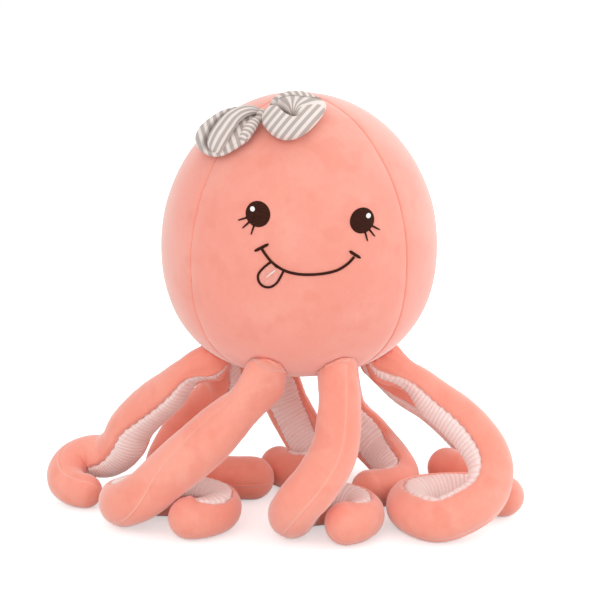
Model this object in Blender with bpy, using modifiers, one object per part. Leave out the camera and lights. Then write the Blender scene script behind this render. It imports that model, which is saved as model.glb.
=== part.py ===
"""Plush octopus: a stuffed head of four sewn gores with an embroidered face and a bow, on eight stuffed
arms that curl on the floor, each with a pale ribbed strip along its inner side."""

import math

import bmesh
import bpy
from mathutils import Vector

MM = 0.001

# Head: round above its widest level, fuller below it
HEAD_RADIUS = 120 * MM
HEAD_WIDEST_HEIGHT = 236 * MM
HEAD_ABOVE = 133 * MM
HEAD_BELOW = 111.6 * MM
FULLNESS_ABOVE = 2.0
FULLNESS_BELOW = 2.35
GORE_THICKNESS = 3 * MM
GORE_GAP = 0.3 * MM
POLE_HOLE_RADIUS = 0.6 * MM
FILLING_GAP = 0.4 * MM
PROFILE_ANGLES = (-90, -74, -61, -48, -32, -16, -5, 5, 15, 25, 35, 48, 61, 75, 90)
FRONT_GORE_SPAN = 97
GORE_TURN_STEP = 14
FACE_TURN_STEP = 10
FILLING_STEPS = 20

# Face: embroidered patches on the front gore, in shares of the head's radius from its middle
STITCH_GAP = 0.4 * MM
STITCH_THICKNESS = 1.0 * MM
EYE_RADIUS = 10.6 * MM
HIGHLIGHT_RADIUS = 2.3 * MM
LASH_WIDTH = 1.6 * MM
LASH_REACH = 17 * MM
LEFT_LASH_HEADINGS = (200, 223, 251)
RIGHT_LASH_HEADINGS = (-31, -52, -75)
MOUTH_WIDTH = 2.1 * MM
MOUTH_TICK_LENGTH = 11 * MM
TONGUE_LINE_WIDTH = 1.3 * MM
EYE_SIDES = 16
HIGHLIGHT_SIDES = 10

# How often a search for a place on the head's outline is halved
HALVINGS = 40

# Bow: two padded loops and a knot, seated on the head
BOW_AZIMUTH = -28
BOW_ELEVATION = 57
BOW_SEAT_GAP = 0.5 * MM
KNOT_HALF_LENGTH = 8 * MM
KNOT_HALF_WIDTH = 9 * MM
KNOT_HALF_THICKNESS = 8 * MM
LEFT_LOOP_REACH = 60 * MM
RIGHT_LOOP_REACH = 50 * MM
LOOP_HALF_WIDTH = 24 * MM
LOOP_HALF_THICKNESS = 9 * MM
LEFT_LOOP_HEADING = 209
RIGHT_LOOP_HEADING = 14
LOOP_SIDES = 10

# Arms: their roots sit in a ring under the head, their curls follow the arms' own thickness
ARM_RADIUS = 20.5 * MM
ROOT_RADIUS = 19 * MM
ROOT_GAP = 0.25 * MM
ROOT_RING_RADIUS = 77 * MM
FLOOR_FLAT_DEPTH = 0.5 * MM
STRIP_THICKNESS = 2.6 * MM
STRIP_GAP = 0.3 * MM
STRIP_END_STEP = 2.5 * MM
RING_SPACING = 28 * MM
RING_TURN = 44


def material(name, color, roughness):
    """A plain cloth or thread surface."""
    made = bpy.data.materials.new(name)
    made.use_nodes = True
    shader = made.node_tree.nodes["Principled BSDF"]
    shader.inputs["Base Color"].default_value = (*color, 1.0)
    shader.inputs["Roughness"].default_value = roughness
    shader.inputs["Metallic"].default_value = 0.0
    return made


def add_piece(name, bm, surface, parent, origin=Vector((0, 0, 0))):
    """Turn a mesh in world places into an object that has its origin at a given point."""
    bmesh.ops.translate(bm, verts=bm.verts, vec=-origin)
    mesh = bpy.data.meshes.new(name)
    bm.to_mesh(mesh)
    bm.free()
    mesh.shade_smooth()
    mesh.materials.append(surface)
    piece = bpy.data.objects.new(name, mesh)
    piece.location = origin - parent.location
    piece.parent = parent
    PARTS.objects.link(piece)
    return piece


def add_pivot(name, place, parent):
    """An empty that carries the pieces of one body."""
    pivot = bpy.data.objects.new(name, None)
    pivot.location = place
    pivot.parent = parent
    PARTS.objects.link(pivot)
    return pivot


# Head


def head_radius_at(height):
    """Radius of the head's outer surface at a height above the floor."""
    rise = height - HEAD_WIDEST_HEIGHT
    reach, fullness = (HEAD_ABOVE, FULLNESS_ABOVE) if rise > 0 else (HEAD_BELOW, FULLNESS_BELOW)
    left = max(0.0, 1.0 - (abs(rise) / reach) ** fullness)
    return HEAD_RADIUS * left ** (1.0 / fullness)


def head_point(angle, inset=0.0):
    """Radius and height of the head's outline at an angle above its widest level."""
    upper = angle > 0
    reach, fullness = (HEAD_ABOVE, FULLNESS_ABOVE) if upper else (HEAD_BELOW, FULLNESS_BELOW)
    across = math.cos(math.radians(angle)) ** (2.0 / fullness)
    rise = abs(math.sin(math.radians(angle))) ** (2.0 / fullness)
    sign = 1 if upper else -1
    return (HEAD_RADIUS - inset) * across, HEAD_WIDEST_HEIGHT + sign * (reach - inset) * rise


def head_normal(radius, height):
    """Outward direction of the head's outline, as a radial and an upward share."""
    rise = height - HEAD_WIDEST_HEIGHT
    reach, fullness = (HEAD_ABOVE, FULLNESS_ABOVE) if rise > 0 else (HEAD_BELOW, FULLNESS_BELOW)
    out = (radius / HEAD_RADIUS) ** (fullness - 1.0) / HEAD_RADIUS
    up = math.copysign((abs(rise) / reach) ** (fullness - 1.0) / reach, rise)
    size = math.hypot(out, up)
    return out / size, up / size


def outward(azimuth):
    """Level direction at an azimuth, where 0 is the front and 90 the right."""
    turn = math.radians(azimuth)
    return Vector((math.sin(turn), -math.cos(turn), 0))


def gore_section():
    """Closed outline of the head's cloth, up its outside and down its inside."""
    outer = [head_point(angle) for angle in PROFILE_ANGLES]
    inner = [head_point(angle, GORE_THICKNESS) for angle in reversed(PROFILE_ANGLES)]
    return [(max(radius, POLE_HOLE_RADIUS), height) for radius, height in outer + inner]


def make_gore(name, middle, span, turn_step, surface, parent):
    """One sewn panel of the head: the cloth's section swung through the panel's angle."""
    bm = bmesh.new()
    start = outward(middle - span / 2)
    ring = [bm.verts.new(start * radius + Vector((0, 0, height))) for radius, height in gore_section()]
    edges = [bm.edges.new((a, b)) for a, b in zip(ring, ring[1:] + ring[:1])]
    steps = math.ceil(span / turn_step)
    swung = bmesh.ops.spin(
        bm, geom=ring + edges, cent=(0, 0, 0), axis=(0, 0, 1), angle=math.radians(span), steps=steps
    )
    last = [part for part in swung["geom_last"] if isinstance(part, bmesh.types.BMEdge)]
    bmesh.ops.contextual_create(bm, geom=edges)
    bmesh.ops.contextual_create(bm, geom=last)
    bmesh.ops.recalc_face_normals(bm, faces=bm.faces)
    bmesh.ops.translate(bm, verts=bm.verts, vec=outward(middle) * GORE_GAP)
    add_piece(name, bm, surface, parent)


def make_head_filling(surface, parent):
    """The stuffing inside the gores, a turned solid."""
    flat_of_gore = HEAD_RADIUS * (1.0 - math.cos(math.radians(GORE_TURN_STEP / 2)))
    inset = GORE_THICKNESS + FILLING_GAP + flat_of_gore
    profile = [head_point(angle, inset) for angle in reversed(PROFILE_ANGLES)]
    mesh = bpy.data.meshes.new("head_filling")
    points = [(radius, 0, height) for radius, height in profile]
    points[0] = (0, 0, profile[0][1])
    points[-1] = (0, 0, profile[-1][1])
    mesh.from_pydata(points, [(i, i + 1) for i in range(len(points) - 1)], [])
    mesh.materials.append(surface)
    filling = bpy.data.objects.new("head_filling", mesh)
    filling.parent = parent
    PARTS.objects.link(filling)
    screw = filling.modifiers.new("turn", "SCREW")
    screw.steps = FILLING_STEPS
    screw.render_steps = FILLING_STEPS
    screw.use_merge_vertices = True
    screw.merge_threshold = 0.0001


# Face

LEFT_EYE_SHARE = (-0.274, 0.401)
RIGHT_EYE_SHARE = (0.425, 0.349)
LEFT_HIGHLIGHT_SHARE = (-0.307, 0.43)
RIGHT_HIGHLIGHT_SHARE = (0.463, 0.375)
MOUTH_SHARES = (
    (-0.252, 0.183),
    (-0.216, 0.132),
    (-0.177, 0.088),
    (-0.1, 0.039),
    (-0.015, 0.016),
    (0.076, 0.01),
    (0.182, 0.017),
    (0.266, 0.037),
    (0.331, 0.076),
    (0.372, 0.117),
)
TONGUE_OUTLINE_SHARES = (
    (-0.197, 0.083),
    (-0.242, 0.046),
    (-0.274, -0.001),
    (-0.27, -0.046),
    (-0.242, -0.076),
    (-0.2, -0.082),
    (-0.157, -0.058),
    (-0.129, -0.018),
    (-0.112, 0.024),
)
TONGUE_FILL_SHARES = (
    (-0.178, 0.066),
    (-0.227, 0.039),
    (-0.259, 0.0),
    (-0.257, -0.039),
    (-0.235, -0.063),
    (-0.203, -0.067),
    (-0.168, -0.047),
    (-0.143, -0.012),
    (-0.126, 0.032),
)
TONGUE_MIDDLE_SHARES = ((-0.155, 0.04), (-0.217, -0.01))


def on_head(across, up, lift):
    """A point in front of the head, at a lift above its cloth."""
    height = HEAD_WIDEST_HEIGHT + up
    reach = head_radius_at(height) + lift
    return Vector((across, -math.sqrt(reach * reach - across * across) - GORE_GAP, height))


def add_patch(name, bm, surface, parent, thickness=STITCH_THICKNESS):
    """A thin closed layer of thread grown outward from an open surface on the head."""
    bmesh.ops.recalc_face_normals(bm, faces=bm.faces)
    for face in bm.faces:
        face.normal_update()
        if face.normal.y > 0:
            face.normal_flip()
    patch = add_piece(name, bm, surface, parent)
    solid = patch.modifiers.new("thread", "SOLIDIFY")
    solid.thickness = thickness
    solid.offset = 1.0
    return patch


def make_disc(name, middle_share, radius, sides, lift, surface, parent):
    """A round patch, such as an eye."""
    bm = bmesh.new()
    bmesh.ops.create_circle(bm, cap_ends=True, cap_tris=True, segments=sides, radius=radius)
    for vert in bm.verts:
        across = middle_share[0] * HEAD_RADIUS + vert.co.x
        up = middle_share[1] * HEAD_RADIUS + vert.co.y
        vert.co = on_head(across, up, lift)
    add_patch(name, bm, surface, parent)


def add_stroke(bm, stations, lift):
    """A flat band through stations of place across, place up and half width."""
    rows = []
    for index, (across, up, half) in enumerate(stations):
        before = stations[max(index - 1, 0)]
        after = stations[min(index + 1, len(stations) - 1)]
        run = Vector((after[0] - before[0], after[1] - before[1])).normalized()
        side = Vector((-run.y, run.x)) * half
        ends = ((across + side.x, up + side.y), (across - side.x, up - side.y))
        rows.append([bm.verts.new(on_head(x, z, lift)) for x, z in ends])
    for low, high in zip(rows, rows[1:]):
        bm.faces.new((low[0], low[1], high[1], high[0]))


def stroke_stations(shares, width):
    """Stations of an even band along points given as shares of the head's radius."""
    return [(x * HEAD_RADIUS, z * HEAD_RADIUS, width / 2) for x, z in shares]


def make_lashes(name, eye_share, headings, surface, parent):
    """Three short stitches outward from an eye's rim."""
    for place, heading in zip(("upper", "middle", "lower"), headings):
        turn = math.radians(heading)
        stations = []
        for reach in (EYE_RADIUS + STITCH_GAP * 2, LASH_REACH):
            across = eye_share[0] * HEAD_RADIUS + reach * math.cos(turn)
            up = eye_share[1] * HEAD_RADIUS + reach * math.sin(turn)
            stations.append((across, up, LASH_WIDTH / 2))
        bm = bmesh.new()
        add_stroke(bm, stations, STITCH_GAP)
        add_patch(name + "_" + place, bm, surface, parent)


def make_mouth(surface, parent):
    """The smile, with a cross stitch at each end."""
    line = stroke_stations(MOUTH_SHARES, MOUTH_WIDTH)
    bm = bmesh.new()
    ends = []
    for near, beyond in ((line[0], line[1]), (line[-1], line[-2])):
        run = Vector((near[0] - beyond[0], near[1] - beyond[1])).normalized()
        inner = Vector(near[:2]) + run * TONGUE_LINE_WIDTH / 2
        outer = inner + run * MOUTH_WIDTH
        ends.append([(*inner, MOUTH_TICK_LENGTH / 2), (*outer, MOUTH_TICK_LENGTH / 2)])
    add_stroke(bm, [ends[0][1], ends[0][0], *line, *ends[1]], STITCH_GAP)
    add_patch("mouth", bm, surface, parent)


def make_tongue(thread, fill, pale, parent):
    """The tongue hangs from the smile: an outline, its fill and a pale middle stitch."""
    bm = bmesh.new()
    add_stroke(bm, stroke_stations(TONGUE_OUTLINE_SHARES, TONGUE_LINE_WIDTH), STITCH_GAP)
    add_patch("tongue_outline", bm, thread, parent)
    bm = bmesh.new()
    ring = [bm.verts.new(on_head(x * HEAD_RADIUS, z * HEAD_RADIUS, STITCH_GAP)) for x, z in TONGUE_FILL_SHARES]
    bm.faces.new(ring)
    bmesh.ops.triangulate(bm, faces=bm.faces)
    add_patch("tongue", bm, fill, parent)
    bm = bmesh.new()
    above = STITCH_GAP * 2 + STITCH_THICKNESS
    add_stroke(bm, stroke_stations(TONGUE_MIDDLE_SHARES, TONGUE_LINE_WIDTH), above)
    add_patch("tongue_middle_line", bm, pale, parent)


def make_face(parent):
    """Eyes, highlights, lashes, mouth and tongue."""
    brown = material("face_thread", (0.055, 0.013, 0.006), 0.6)
    white = material("highlight_thread", (0.9, 0.88, 0.86), 0.5)
    pink = material("tongue_thread", (0.86, 0.34, 0.28), 0.65)
    above_eye = STITCH_GAP * 2 + STITCH_THICKNESS
    make_disc("left_eye", LEFT_EYE_SHARE, EYE_RADIUS, EYE_SIDES, STITCH_GAP, brown, parent)
    make_disc("right_eye", RIGHT_EYE_SHARE, EYE_RADIUS, EYE_SIDES, STITCH_GAP, brown, parent)
    make_disc(
        "left_highlight", LEFT_HIGHLIGHT_SHARE, HIGHLIGHT_RADIUS, HIGHLIGHT_SIDES, above_eye, white, parent
    )
    make_disc(
        "right_highlight", RIGHT_HIGHLIGHT_SHARE, HIGHLIGHT_RADIUS, HIGHLIGHT_SIDES, above_eye, white, parent
    )
    make_lashes("left_lash", LEFT_EYE_SHARE, LEFT_LASH_HEADINGS, brown, parent)
    make_lashes("right_lash", RIGHT_EYE_SHARE, RIGHT_LASH_HEADINGS, brown, parent)
    make_mouth(brown, parent)
    make_tongue(brown, pink, white, parent)


# Bow


def seat_on_head(azimuth, elevation):
    """Point of the head where its outward direction has an azimuth and an elevation, and that direction."""
    low, high = 0.0, 90.0
    for _ in range(HALVINGS):
        middle = (low + high) / 2
        out, up = head_normal(*head_point(middle))
        low, high = (middle, high) if math.degrees(math.atan2(up, out)) < elevation else (low, middle)
    radius, height = head_point((low + high) / 2)
    side = outward(azimuth)
    tilt = math.radians(elevation)
    return side * radius + Vector((0, 0, height)), side * math.cos(tilt) + Vector((0, 0, math.sin(tilt)))


def drop_to_head(point, lift):
    """The point moved along the line to the head's middle until it is at a lift above the cloth."""
    middle = Vector((0, 0, HEAD_WIDEST_HEIGHT))
    ray = (point - middle).normalized()
    low, high = 0.0, HEAD_RADIUS + HEAD_ABOVE
    for _ in range(HALVINGS):
        reach = (low + high) / 2
        place = middle + ray * reach
        inside = math.hypot(place.x, place.y) < head_radius_at(place.z)
        low, high = (reach, high) if inside else (low, reach)
    surface = middle + ray * low
    out, up = head_normal(math.hypot(surface.x, surface.y), surface.z)
    flat = Vector((surface.x, surface.y, 0)).normalized()
    normal = flat * out + Vector((0, 0, up))
    return surface + normal * lift, normal


def add_loft(bm, rings):
    """A closed skin over rings of points, each ring with as many points as the next."""
    rows = [[bm.verts.new(point) for point in ring] for ring in rings]
    for low, high in zip(rows, rows[1:]):
        for index in range(len(low)):
            after = (index + 1) % len(low)
            bm.faces.new((low[index], low[after], high[after]))
            bm.faces.new((low[index], high[after], high[index]))
    bm.faces.new(list(reversed(rows[0])))
    bm.faces.new(rows[-1])
    bmesh.ops.recalc_face_normals(bm, faces=bm.faces)


# Along a loop of the bow: place, half width and half thickness
LOOP_STATION_SHARES = (
    (0.0, 0.42, 0.8),
    (0.22, 0.66, 0.85),
    (0.5, 0.92, 1.0),
    (0.8, 1.0, 0.9),
    (1.0, 0.86, 0.4),
)


def make_bow(surface, knot_surface, parent):
    """Two padded loops that lie on the head on either side of a knot."""
    seat, normal = seat_on_head(BOW_AZIMUTH, BOW_ELEVATION)
    level = Vector((0, 0, 1)).cross(normal).normalized()
    rise = normal.cross(level)
    loops = (
        ("bow_left_loop", LEFT_LOOP_HEADING, LEFT_LOOP_REACH),
        ("bow_right_loop", RIGHT_LOOP_HEADING, RIGHT_LOOP_REACH),
    )
    for name, heading, loop_reach in loops:
        turn = math.radians(heading)
        along = level * math.cos(turn) + rise * math.sin(turn)
        rings = []
        for place, width, thickness in LOOP_STATION_SHARES:
            reach = KNOT_HALF_LENGTH + place * (loop_reach - KNOT_HALF_LENGTH)
            half_thickness = thickness * LOOP_HALF_THICKNESS
            half_width = width * LOOP_HALF_WIDTH
            middle, out = drop_to_head(seat + along * reach, BOW_SEAT_GAP + half_thickness)
            side = out.cross(along).normalized()
            ring = []
            for index in range(LOOP_SIDES):
                angle = math.tau * index / LOOP_SIDES
                ring.append(middle + side * half_width * math.cos(angle) + out * half_thickness * math.sin(angle))
            rings.append(ring)
        bm = bmesh.new()
        add_loft(bm, rings)
        add_piece(name, bm, surface, parent)
    bm = bmesh.new()
    bmesh.ops.create_uvsphere(bm, u_segments=12, v_segments=7, radius=1.0)
    middle = seat + normal * (KNOT_HALF_THICKNESS + BOW_SEAT_GAP)
    for vert in bm.verts:
        x, y, z = vert.co
        vert.co = (
            middle
            + level * x * KNOT_HALF_LENGTH
            + rise * y * KNOT_HALF_WIDTH
            + normal * z * KNOT_HALF_THICKNESS
        )
    add_piece("bow_knot", bm, knot_surface, parent)


# Arms: azimuth of the root, azimuth of the lift, share of the radius at the tip, where the strip faces at
# shares of the arm's length, and the route after the root. Places are shares of the arm's radius. Heights
# on a route are shares of the root's height above the height of an arm that lies on the floor.
UNDER_HEAD_SHARE = (0.0, 0.0, 2.82)
ARMS = {
    "left": {
        "azimuth": -77,
        "lift_azimuth": -67,
        "tip_share": 0.73,
        "aims": (
            (0.3, (0.0, -5.0, 2.0)),
            (0.5, (-9.2, -0.8, -2.5)),
            (0.9, (-9.2, -0.8, -2.5)),
            (1.0, (-9.2, -0.3, 0.5)),
        ),
        "route_share": (
            (-4.68, -0.59, 0.96),
            (-5.76, -0.15, 0.79),
            (-6.68, 0.24, 0.62),
            (-7.37, 0.49, 0.45),
            (-7.8, 0.68, 0.27),
            (-8.54, 0.98, 0.14),
            (-9.37, 1.22, 0.12),
            (-10.0, 0.98, 0.09),
            (-10.29, 0.39, 0.06),
            (-10.2, -0.29, 0.03),
            (-9.71, -0.78, 0.01),
            (-9.32, -0.85, 0.0),
        ),
    },
    "front_left": {
        "azimuth": -31,
        "lift_azimuth": -31,
        "tip_share": 0.9,
        "aims": ((0.2, UNDER_HEAD_SHARE), (0.4, (-5.37, -2.83, 4.0))),
        "route_share": (
            (-2.73, -3.41, 0.8),
            (-4.1, -3.71, 0.56),
            (-5.46, -3.85, 0.33),
            (-6.54, -3.85, 0.13),
            (-7.32, -3.41, 0.03),
            (-7.51, -2.59, 0.0),
            (-6.98, -1.9, 0.0),
            (-5.95, -1.76, 0.0),
            (-4.78, -1.9, 0.0),
            (-3.9, -2.2, 0.0),
            (-3.37, -2.88, 0.0),
            (-3.41, -3.71, 0.0),
            (-4.1, -4.34, 0.0),
            (-4.54, -4.44, 0.0),
        ),
    },
    "front_right": {
        "azimuth": 26,
        "lift_azimuth": -12,
        "tip_share": 0.9,
        "aims": ((0.35, UNDER_HEAD_SHARE), (0.6, (1.37, -3.9, 2.6))),
        "route_share": (
            (1.66, -4.0, 0.78),
            (1.37, -4.59, 0.54),
            (0.68, -5.07, 0.33),
            (0.0, -5.17, 0.17),
            (-0.29, -4.68, 0.03),
            (-0.2, -3.8, 0.0),
            (0.39, -3.02, 0.0),
            (1.46, -2.78, 0.0),
            (2.39, -3.22, 0.0),
            (2.68, -4.1, 0.0),
            (2.34, -4.83, 0.0),
            (1.95, -5.07, 0.0),
        ),
    },
    "right": {
        "azimuth": 74,
        "lift_azimuth": 79,
        "tip_share": 0.9,
        "aims": ((0.2, (1.5, -6.0, 2.0)), (0.5, (6.59, -3.02, 2.8))),
        "route_share": (
            (4.93, -1.27, 0.93),
            (5.9, -1.66, 0.81),
            (6.73, -2.15, 0.7),
            (7.37, -2.63, 0.58),
            (7.85, -3.17, 0.44),
            (7.95, -3.66, 0.32),
            (7.61, -4.15, 0.16),
            (6.68, -4.54, 0.05),
            (5.76, -4.73, 0.0),
            (4.98, -4.2, 0.0),
            (4.63, -3.32, 0.0),
            (4.83, -2.34, 0.0),
            (5.66, -1.76, 0.0),
            (6.73, -1.51, 0.0),
            (7.8, -1.61, 0.0),
            (8.78, -1.85, 0.0),
        ),
    },
    "back_right": {
        "azimuth": 106,
        "lift_azimuth": 106,
        "tip_share": 0.9,
        "aims": ((0.35, UNDER_HEAD_SHARE), (0.6, (7.66, 2.24, 1.3))),
        "route_share": (
            (4.68, 1.85, 0.76),
            (5.9, 2.63, 0.56),
            (6.98, 3.22, 0.34),
            (7.71, 3.41, 0.18),
            (8.39, 3.12, 0.05),
            (8.68, 2.34, 0.0),
            (8.44, 1.56, 0.0),
            (7.71, 1.17, 0.0),
            (7.02, 1.37, 0.0),
            (6.68, 1.76, 0.0),
        ),
    },
    "rear_right": {
        "azimuth": 154,
        "lift_azimuth": 172,
        "tip_share": 0.85,
        "aims": ((0.35, (3.2, -10.0, 4.0)), (0.65, (3.41, 0.59, 1.5))),
        "route_share": (
            (2.15, 3.8, 0.38),
            (3.02, 3.51, 0.2),
            (3.76, 2.78, 0.07),
            (4.15, 1.66, 0.05),
            (4.44, 0.68, 0.0),
            (4.0, -0.39, 0.0),
            (3.12, -0.88, 0.0),
        ),
    },
    "rear_left": {
        "azimuth": -164,
        "lift_azimuth": -150,
        "tip_share": 0.9,
        "aims": ((0.35, UNDER_HEAD_SHARE), (0.6, (0.1, 2.1, 1.5))),
        "route_share": (
            (-1.02, 4.24, 0.8),
            (-0.88, 4.54, 0.6),
            (-0.59, 4.54, 0.42),
            (-0.1, 4.2, 0.25),
            (0.44, 3.56, 0.1),
            (0.88, 2.78, 0.01),
            (0.93, 1.95, 0.0),
            (0.39, 1.41, 0.0),
            (-0.34, 1.46, 0.0),
            (-0.88, 2.0, 0.0),
        ),
    },
    "back_left": {
        "azimuth": -113,
        "lift_azimuth": -143,
        "tip_share": 0.95,
        "aims": ((0.2, UNDER_HEAD_SHARE), (0.45, (-3.9, 1.95, 1.0))),
        "route_share": (
            (-3.27, 1.85, 0.74),
            (-4.2, 2.34, 0.52),
            (-5.07, 2.54, 0.31),
            (-5.61, 2.24, 0.15),
            (-5.9, 1.37, 0.03),
            (-5.37, 0.49, 0.0),
            (-4.44, 0.24, 0.0),
            (-3.32, 0.24, 0.0),
            (-2.05, 0.24, 0.0),
        ),
    },
}

# Round ends of an arm: angles past the end's middle where a ring of the cap lies
CAP_ANGLES = (38, 75)
# Section of an arm, by angle from the middle of the strip: the coral cloth, then the bed of the strip
CORAL_ANGLES = (60, 78, 102, 140, 180, -140, -102, -78, -60)
BED_ANGLES = (-57, 0, 57)
STRIP_INNER_ANGLES = (-55.5, 0, 55.5)
STRIP_OUTER_ANGLES = (58, 20, -20, -58)
# A tight bend presses the inner half of the section to at most this share of the bend's radius
BEND_SHARE = 0.82
STRAIGHT_ENOUGH = 0.000001
# Shares of an arm's length: full by the first, slimmer from the second on, over the third
FULL_BY_SHARE = 0.3
SLIM_FROM_SHARE = 0.45
SLIM_OVER_SHARE = 0.5
FINE_STEPS = 24
SMOOTH_PASSES = 4


def root_place(azimuth):
    """Pivot of an arm: the middle of its round root, which just clears the head."""
    low, high = -89.0, 0.0
    for _ in range(HALVINGS):
        middle = (low + high) / 2
        radius, height = head_point(middle)
        out, up = head_normal(radius, height)
        low, high = (middle, high) if radius + out * (ROOT_RADIUS + ROOT_GAP) < ROOT_RING_RADIUS else (low, middle)
    radius, height = head_point(low)
    out, up = head_normal(radius, height)
    reach = ROOT_RADIUS + ROOT_GAP
    return outward(azimuth) * (radius + out * reach) + Vector((0, 0, height + up * reach))


def smooth_route(points):
    """Many points along a smooth curve through the route's own points."""
    ends = [points[0] * 2 - points[1], *points, points[-1] * 2 - points[-2]]
    fine = []
    for p0, p1, p2, p3 in zip(ends, ends[1:], ends[2:], ends[3:]):
        t1 = math.sqrt((p1 - p0).length)
        t2 = t1 + math.sqrt((p2 - p1).length)
        t3 = t2 + math.sqrt((p3 - p2).length)
        for step in range(FINE_STEPS):
            t = t1 + (t2 - t1) * step / FINE_STEPS
            a1 = p0.lerp(p1, t / t1)
            a2 = p1.lerp(p2, (t - t1) / (t2 - t1))
            a3 = p2.lerp(p3, (t - t2) / (t3 - t2))
            b1 = a1.lerp(a2, t / t2)
            b2 = a2.lerp(a3, (t - t1) / (t3 - t1))
            fine.append(b1.lerp(b2, (t - t1) / (t2 - t1)))
    return [*fine, points[-1]]


def arm_route(arm):
    """Smooth line through the middle of an arm, from its pivot to the middle of its round tip."""
    pivot = root_place(arm["azimuth"])
    rest = ARM_RADIUS - FLOOR_FLAT_DEPTH
    points = [pivot]
    for across, deep, lift in arm["route_share"]:
        points.append(Vector((across * ARM_RADIUS, deep * ARM_RADIUS, rest + lift * (pivot.z - rest))))
    return smooth_route(points)


def ease(value):
    """A smooth step from 0 to 1."""
    value = min(max(value, 0.0), 1.0)
    return value * value * (3 - 2 * value)


def radius_at(arm, share):
    """Radius of an arm at a share of its length: slim at the root, full in the middle, slimmer at the tip."""
    tip = arm["tip_share"] * ARM_RADIUS
    if share < FULL_BY_SHARE:
        return ROOT_RADIUS + (ARM_RADIUS - ROOT_RADIUS) * ease(share / FULL_BY_SHARE)
    return ARM_RADIUS + (tip - ARM_RADIUS) * ease((share - SLIM_FROM_SHARE) / SLIM_OVER_SHARE)


def ring_indices(fine):
    """Points of the fine line where rings go, closer together in the bends."""
    costs = [0.0]
    runs = [(b - a).normalized() for a, b in zip(fine, fine[1:])]
    for index in range(1, len(fine)):
        turn = math.degrees(runs[max(index - 2, 0)].angle(runs[index - 1], 0.0))
        costs.append(costs[-1] + (fine[index] - fine[index - 1]).length / RING_SPACING + turn / RING_TURN)
    count = math.ceil(costs[-1])
    wanted = [costs[-1] * number / count for number in range(count + 1)]
    return [min(range(len(costs)), key=lambda i: abs(costs[i] - cost)) for cost in wanted]


def bend_at(place, along, neighbours):
    """Direction toward the inside of a bend, divided by how far the next rings' planes are that way."""
    inward = sum(((other_along - along) * sign for _, other_along, sign in neighbours), Vector((0, 0, 0)))
    inward -= along * inward.dot(along)
    if inward.length < STRAIGHT_ENOUGH:
        return Vector((0, 0, 0))
    inward.normalize()
    tightness = 0.0
    for other, other_along, sign in neighbours:
        closing = inward.dot(other_along) * sign
        reach = (other - place).dot(other_along) * sign
        tightness = max(tightness, closing / reach)
    return inward * tightness


def even_out(facings, alongs):
    """Spread the turns of the strip over neighbouring rings."""
    for _ in range(SMOOTH_PASSES):
        spread = []
        for number, (facing, along) in enumerate(zip(facings, alongs)):
            before = facings[max(number - 1, 0)]
            after = facings[min(number + 1, len(facings) - 1)]
            mixed = before + facing * 2 + after
            spread.append((mixed - along * mixed.dot(along)).normalized())
        facings = spread
    return facings


def aim_at(arm, share):
    """The point that an arm's strip faces at a share of the arm's length."""
    aims = arm["aims"]
    point = Vector(aims[0][1])
    for (start, _), (end, after) in zip(aims, aims[1:]):
        point = point.lerp(Vector(after), ease((share - start) / (end - start)))
    return point * ARM_RADIUS


def arm_stations(arm):
    """Rings along an arm: place, direction, radius, side that the strip is on, and bend."""
    fine = arm_route(arm)
    span = FINE_STEPS // 3
    length = sum((b - a).length for a, b in zip(fine, fine[1:]))
    indices = ring_indices(fine)
    alongs = [
        (fine[min(index + span, len(fine) - 1)] - fine[max(index - span, 0)]).normalized() for index in indices
    ]
    rest = ARM_RADIUS - FLOOR_FLAT_DEPTH
    facings, radii = [], []
    for index, along in zip(indices, alongs):
        place = fine[index]
        share = sum((b - a).length for a, b in zip(fine[:index], fine[1 : index + 1])) / length
        aim = aim_at(arm, share) - place
        facings.append((aim - along * aim.dot(along)).normalized())
        radii.append(radius_at(arm, share))
        place.z -= (ARM_RADIUS - radii[-1]) * (1 - ease((place.z - rest) / ARM_RADIUS))
    facings = even_out(facings, alongs)
    made = []
    for number, index in enumerate(indices):
        neighbours = []
        if number > 0:
            neighbours.append((fine[indices[number - 1]], alongs[number - 1], -1))
        if number < len(indices) - 1:
            neighbours.append((fine[indices[number + 1]], alongs[number + 1], 1))
        bend = bend_at(fine[index], alongs[number], neighbours)
        made.append((fine[index], alongs[number], radii[number], facings[number], bend))
    return made


def section(station, angles, inset):
    """Points of a ring at angles from the strip's middle, pressed in where the arm bends or lies."""
    place, along, radius, facing, bend = station
    side = along.cross(facing)
    tightness = bend.length
    inward = bend.normalized() if tightness else facing
    allowed = BEND_SHARE / (tightness * radius) if tightness else 1.0
    ring = []
    for angle, depth in zip(angles, inset):
        turn = math.radians(angle)
        spoke = (facing * math.cos(turn) + side * math.sin(turn)) * (radius - depth)
        toward = spoke.dot(inward)
        if toward > 0 and allowed < 1:
            spoke -= inward * toward * (1 - allowed)
        point = place + spoke
        if point.z < FLOOR_FLAT_DEPTH:
            point.z = 0.0
        ring.append(point)
    return ring


def capped(stations):
    """The stations with a round cap of smaller rings before the first and after the last."""
    first, last = [], []
    for angle in CAP_ANGLES:
        turn = math.radians(angle)
        for station, sign, ends in ((stations[0], -1, first), (stations[-1], 1, last)):
            place, along, radius, facing, _ = station
            shifted = place + along * sign * radius * math.sin(turn)
            ends.append((shifted, along, radius * math.cos(turn), facing, Vector((0, 0, 0))))
    return list(reversed(first)), last


def near_station(station, after, shift):
    """A station a little way from another, toward its neighbour."""
    place, along, radius, facing, bend = station
    run = after[0] - place
    return (place + run.normalized() * shift, along, radius, facing, bend)


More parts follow.
